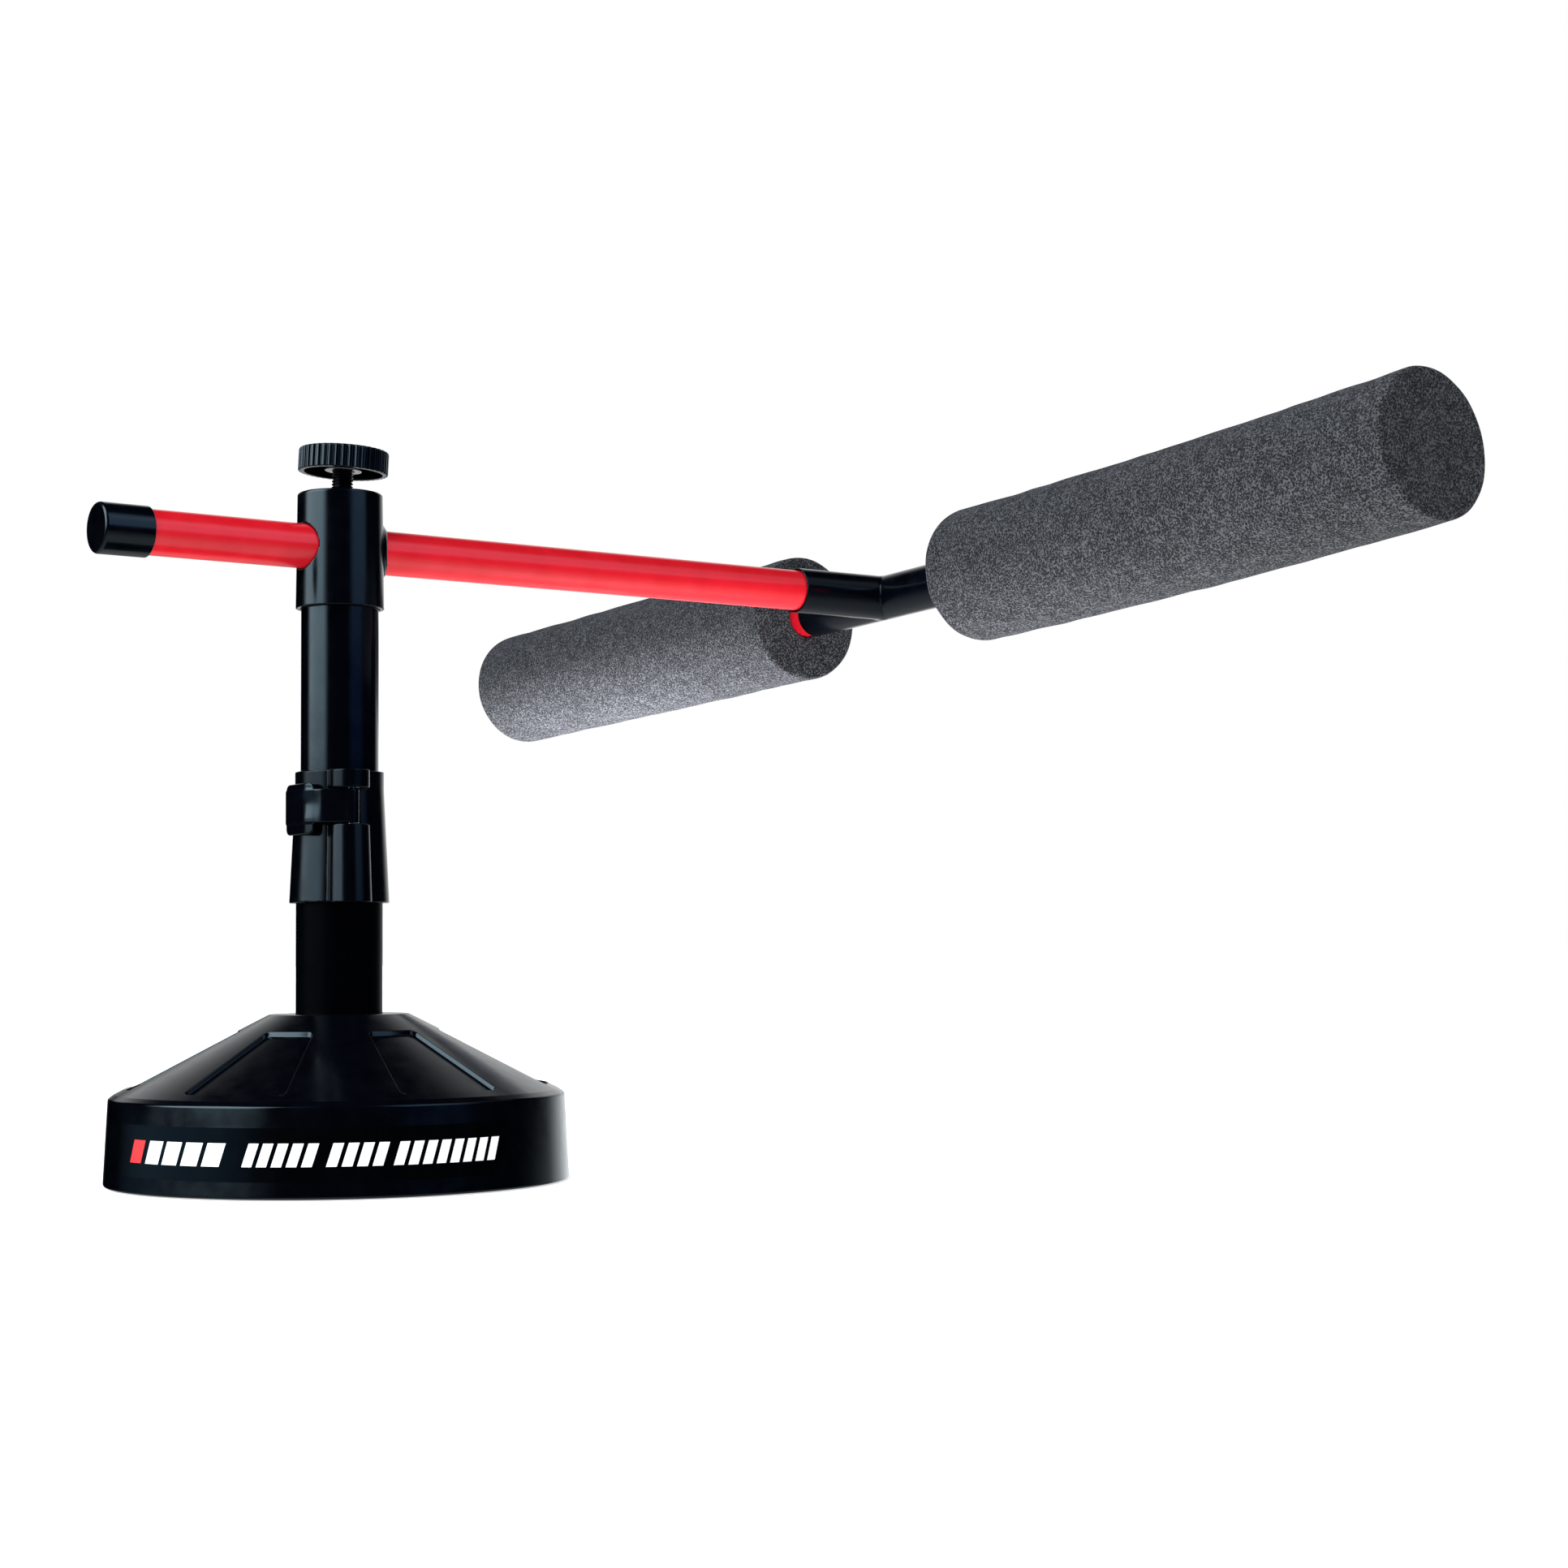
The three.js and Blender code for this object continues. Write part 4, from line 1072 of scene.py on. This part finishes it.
def make_crossbar():
    """The tee, the two halves of the red bar and the two foam rolls."""
    low, high = (-62.5 * MM, -64.5 * MM, -13.5 * MM), (14 * MM, 64.5 * MM, 13.5 * MM)
    tee = net_solid("tee_fitting_fine", tee_field, low, high, BAR_FRAME)
    finish_piece(tee, DULL_PLASTIC, "crossbar", "black_plastic", "tee_fitting")
    corners = tube_corners(ARM_RADIUS - ARM_WALL, ARM_RADIUS, TEE.stop + GAP, BAR_END)
    for side, frame_of in BAR_SIDES.items():
        tube = lathe(f"bar_tube_{side}_fine", corners, 128, frame_of)
        finish_piece(tube, RED_TUBE, "crossbar", "red_tube", f"bar_tube_{side}")
    make_foam("front", 76 * MM, FOAM_BEND, 3)
    make_foam("rear", 70 * MM, 0, 8)


make_foot()
make_sole()
make_label()
make_post()
make_clamp()
make_head()
make_knob()
make_stud()
make_arm()
make_crossbar()


# ---- CAD nodes that stay

KEPT = {
    PLASTIC: ("base_bottom_plate",),
    CEMENT: ("ballast",),
    ZINC: (*(f"base_screw_{number}" for number in range(1, 5)), "post_bolt", "post_washer", "captive_nut"),
    NYLON: (
        "lower_tube_plug", "upper_tube_glide", "clamp_pad", "clamp_shoe", "bar_end_plug_front",
        "bar_end_plug_rear"),
}
for material, nodes in KEPT.items():
    for node in nodes:
        mesh = frame["nodes"][node].data
        mesh.materials.clear()
        mesh.materials.append(material)


# ---- camera

CAMERA = {"place": (-0.6007, -1.1574, 0.1034), "heading": 36.6, "pitch": 3.53, "roll": -0.454, "lens": 63.32}


def make_camera():
    """The camera at the photo's place, its heading clockwise from +Y."""
    heading, pitch, roll = (math.radians(CAMERA[key]) for key in ("heading", "pitch", "roll"))
    forward = Vector((math.sin(heading), math.cos(heading), math.tan(pitch))).normalized()
    level = forward.cross(Vector((0, 0, 1))).normalized()
    upright = level.cross(forward)
    right = level * math.cos(roll) + upright * math.sin(roll)
    up = upright * math.cos(roll) - level * math.sin(roll)
    data = bpy.data.cameras.new("camera")
    data.lens = CAMERA["lens"]
    data.sensor_width = 36
    data.clip_start = 0.01
    data.clip_end = 100
    camera = add_object("camera", data)
    facing = Matrix((right, up, -forward)).transposed().to_4x4()
    camera.matrix_world = Matrix.Translation(CAMERA["place"]) @ facing
    bpy.context.scene.camera = camera


make_camera()


# ---- floor and light

FLOOR_HALF = 30
FLOOR_GLOW = 0.62


def make_floor():
    """A white light table: it glows, so only the faintest shadow is left on it."""
    mesh = bpy.data.meshes.new("floor")
    corners = [(x * FLOOR_HALF, y * FLOOR_HALF, 0) for x, y in ((-1, -1), (1, -1), (1, 1), (-1, 1))]
    mesh.from_pydata(corners, [], [(0, 1, 2, 3)])
    glow = {"Emission_Color": (1, 1, 1, 1), "Emission_Strength": FLOOR_GLOW}
    mesh.materials.append(shader("floor", (0.9, 0.9, 0.9), 0.9, Specular_IOR_Level=0.0, **glow)[0])
    floor = add_object("floor", mesh)
    floor.visible_glossy = False
    floor.visible_diffuse = False
    floor.visible_shadow = False


# Soft boxes all round the object. Each row holds from and to in degrees round the upright, where 0 is behind
# the camera and positive is to its right; from and to above the horizon; the softness of the side edges,
# and of the upper and lower edges; and the strength and its tint.
BOXES = (
    (-93, -33, 3.6, 60, 18, 1.6, 3.4, (0.86, 0.95, 1.0)),
    (-92, -34, 12, 60, 14, 3, 1.6, (0.9, 0.97, 1.0)),
    (40, 80, 3.6, 60, 16, 1.6, 0.25, (0.06, 0.22, 1.0)),
    (40, 80, 8.5, 60, 16, 4, 0.75, (0.7, 0.88, 1.0)),
    (66, 128, 35, 48, 8, 5, 0.3, (1.0, 1.0, 1.0)),
    (125, 182, -9, -1.5, 40, 3, 0.5, (0.8, 0.92, 1.0)),
    (-110, -40, -9, -1.5, 40, 3, 0.3, (0.4, 0.7, 1.0)),
)
# The white backdrop: its middle, to the right of the camera's axis; how far a level ray reaches towards it
# where it begins and where it is full; and its upper part's own reach and heights.
BACKDROP = Values(turn=math.radians(9), edge=(0.84, 0.99), high_edge=(0.66, 0.93), high=(14, 46, 8))
# The white table, and the fill that only dull surfaces get: a ray's rise where each begins and where it is
# full, and its least and most strength.
TABLE = (-0.22, -0.6, 0.0, 0.5)
FILL = (-0.1, -0.7, 0.0, 2.4)
FILL_ALL_ROUND = 0.45


def window(value, low, high, softness):
    """1 while a value lies between two limits, with soft edges."""
    rise = remap(value, low - softness / 2, low + softness / 2, 0.0, 1.0)
    fall = remap(value, high - softness / 2, high + softness / 2, 1.0, 0.0)
    for result in (rise, fall):
        result.node.interpolation_type = "SMOOTHSTEP"
    return times(rise, fall)


def mixed(tree, mode, first, second, share=1.0):
    """Two colours put together by a mix node."""
    result = new_node(tree, "MixRGB", "Color", Fac=share, Color1=first, Color2=second)
    result.node.blend_type = mode
    return result


def make_world():
    """The studio: white to the camera, and to other rays soft boxes, a white backdrop and a white table."""
    world = bpy.data.worlds.new("studio")
    world.use_nodes = True
    bpy.context.scene.world = world
    tree = world.node_tree
    ray = new_node(tree, "SeparateXYZ", "X", Vector=new_node(tree, "TexCoord", "Generated")).node
    x, y, z = (ray.outputs[axis] for axis in "XYZ")
    heading = math.radians(CAMERA["heading"])

    def towards(turn):
        """How far a ray reaches, level, in a direction given as the camera's heading is."""
        return plus(times(x, math.sin(turn)), times(y, math.cos(turn)))

    ahead, right = towards(heading), towards(heading + TAU / 4)
    bearing = times(combine("ARCTAN2", right, times(ahead, -1.0)), 180 / math.pi)
    above = times(combine("ARCSINE", z, 0.0), 180 / math.pi)
    low_backdrop = remap(towards(heading + BACKDROP.turn), *BACKDROP.edge, 0.0, 1.0)
    high_backdrop = times(remap(ahead, *BACKDROP.high_edge, 0.0, 1.0), window(above, *BACKDROP.high))
    backdrop = combine("MAXIMUM", low_backdrop, high_backdrop)
    fill = plus(remap(z, *FILL), FILL_ALL_ROUND)
    fill = times(new_node(tree, "LightPath", "Is Diffuse Ray"), fill)
    white = combine("MAXIMUM", combine("MAXIMUM", backdrop, remap(z, *TABLE)), fill)
    total = None
    for start, end, low, high, side_softness, softness, strength, tint in BOXES:
        inside = times(window(bearing, start, end, side_softness), window(above, low, high, softness))
        box = mixed(tree, "MIX", (0, 0, 0, 1), (*(strength * c for c in tint), 1), inside)
        total = box if total is None else mixed(tree, "ADD", total, box)
    total = mixed(tree, "ADD", total, white)
    seen = mixed(tree, "LIGHTEN", total, new_node(tree, "LightPath", "Is Camera Ray"))
    set_inputs(tree.nodes["Background"], Color=seen, Strength=1.0)


# Square lamps under and above the foam rolls: from where, towards where, width in metres and power in watts.
LAMPS = {
    "under_rear_roll": ((0.31, 0.26, 0.03), (0.32, 0.25, 0.3), 0.22, 6.5),
    "under_front_roll": ((0.29, -0.14, 0.03), (0.32, -0.16, 0.3), 0.2, 1.4),
    "above_left": ((-0.5, -0.5, 1.3), (0.33, -0.2, 0.32), 0.5, 16.0),
}


def make_lamp(name, place, target, size, power):
    """A soft square light that shines from a place towards a target and isn't seen itself."""
    data = bpy.data.lights.new(name, "AREA")
    data.size = size
    data.energy = power
    lamp = add_object(name, data)
    facing = (Vector(place) - Vector(target)).to_track_quat("Z", "Y").to_matrix().to_4x4()
    lamp.matrix_world = Matrix.Translation(place) @ facing
    lamp.visible_camera = False
    lamp.visible_glossy = False


make_floor()
make_world()
for name, settings in LAMPS.items():
    make_lamp(name, *settings)
bpy.context.scene.view_settings.view_transform = "Standard"
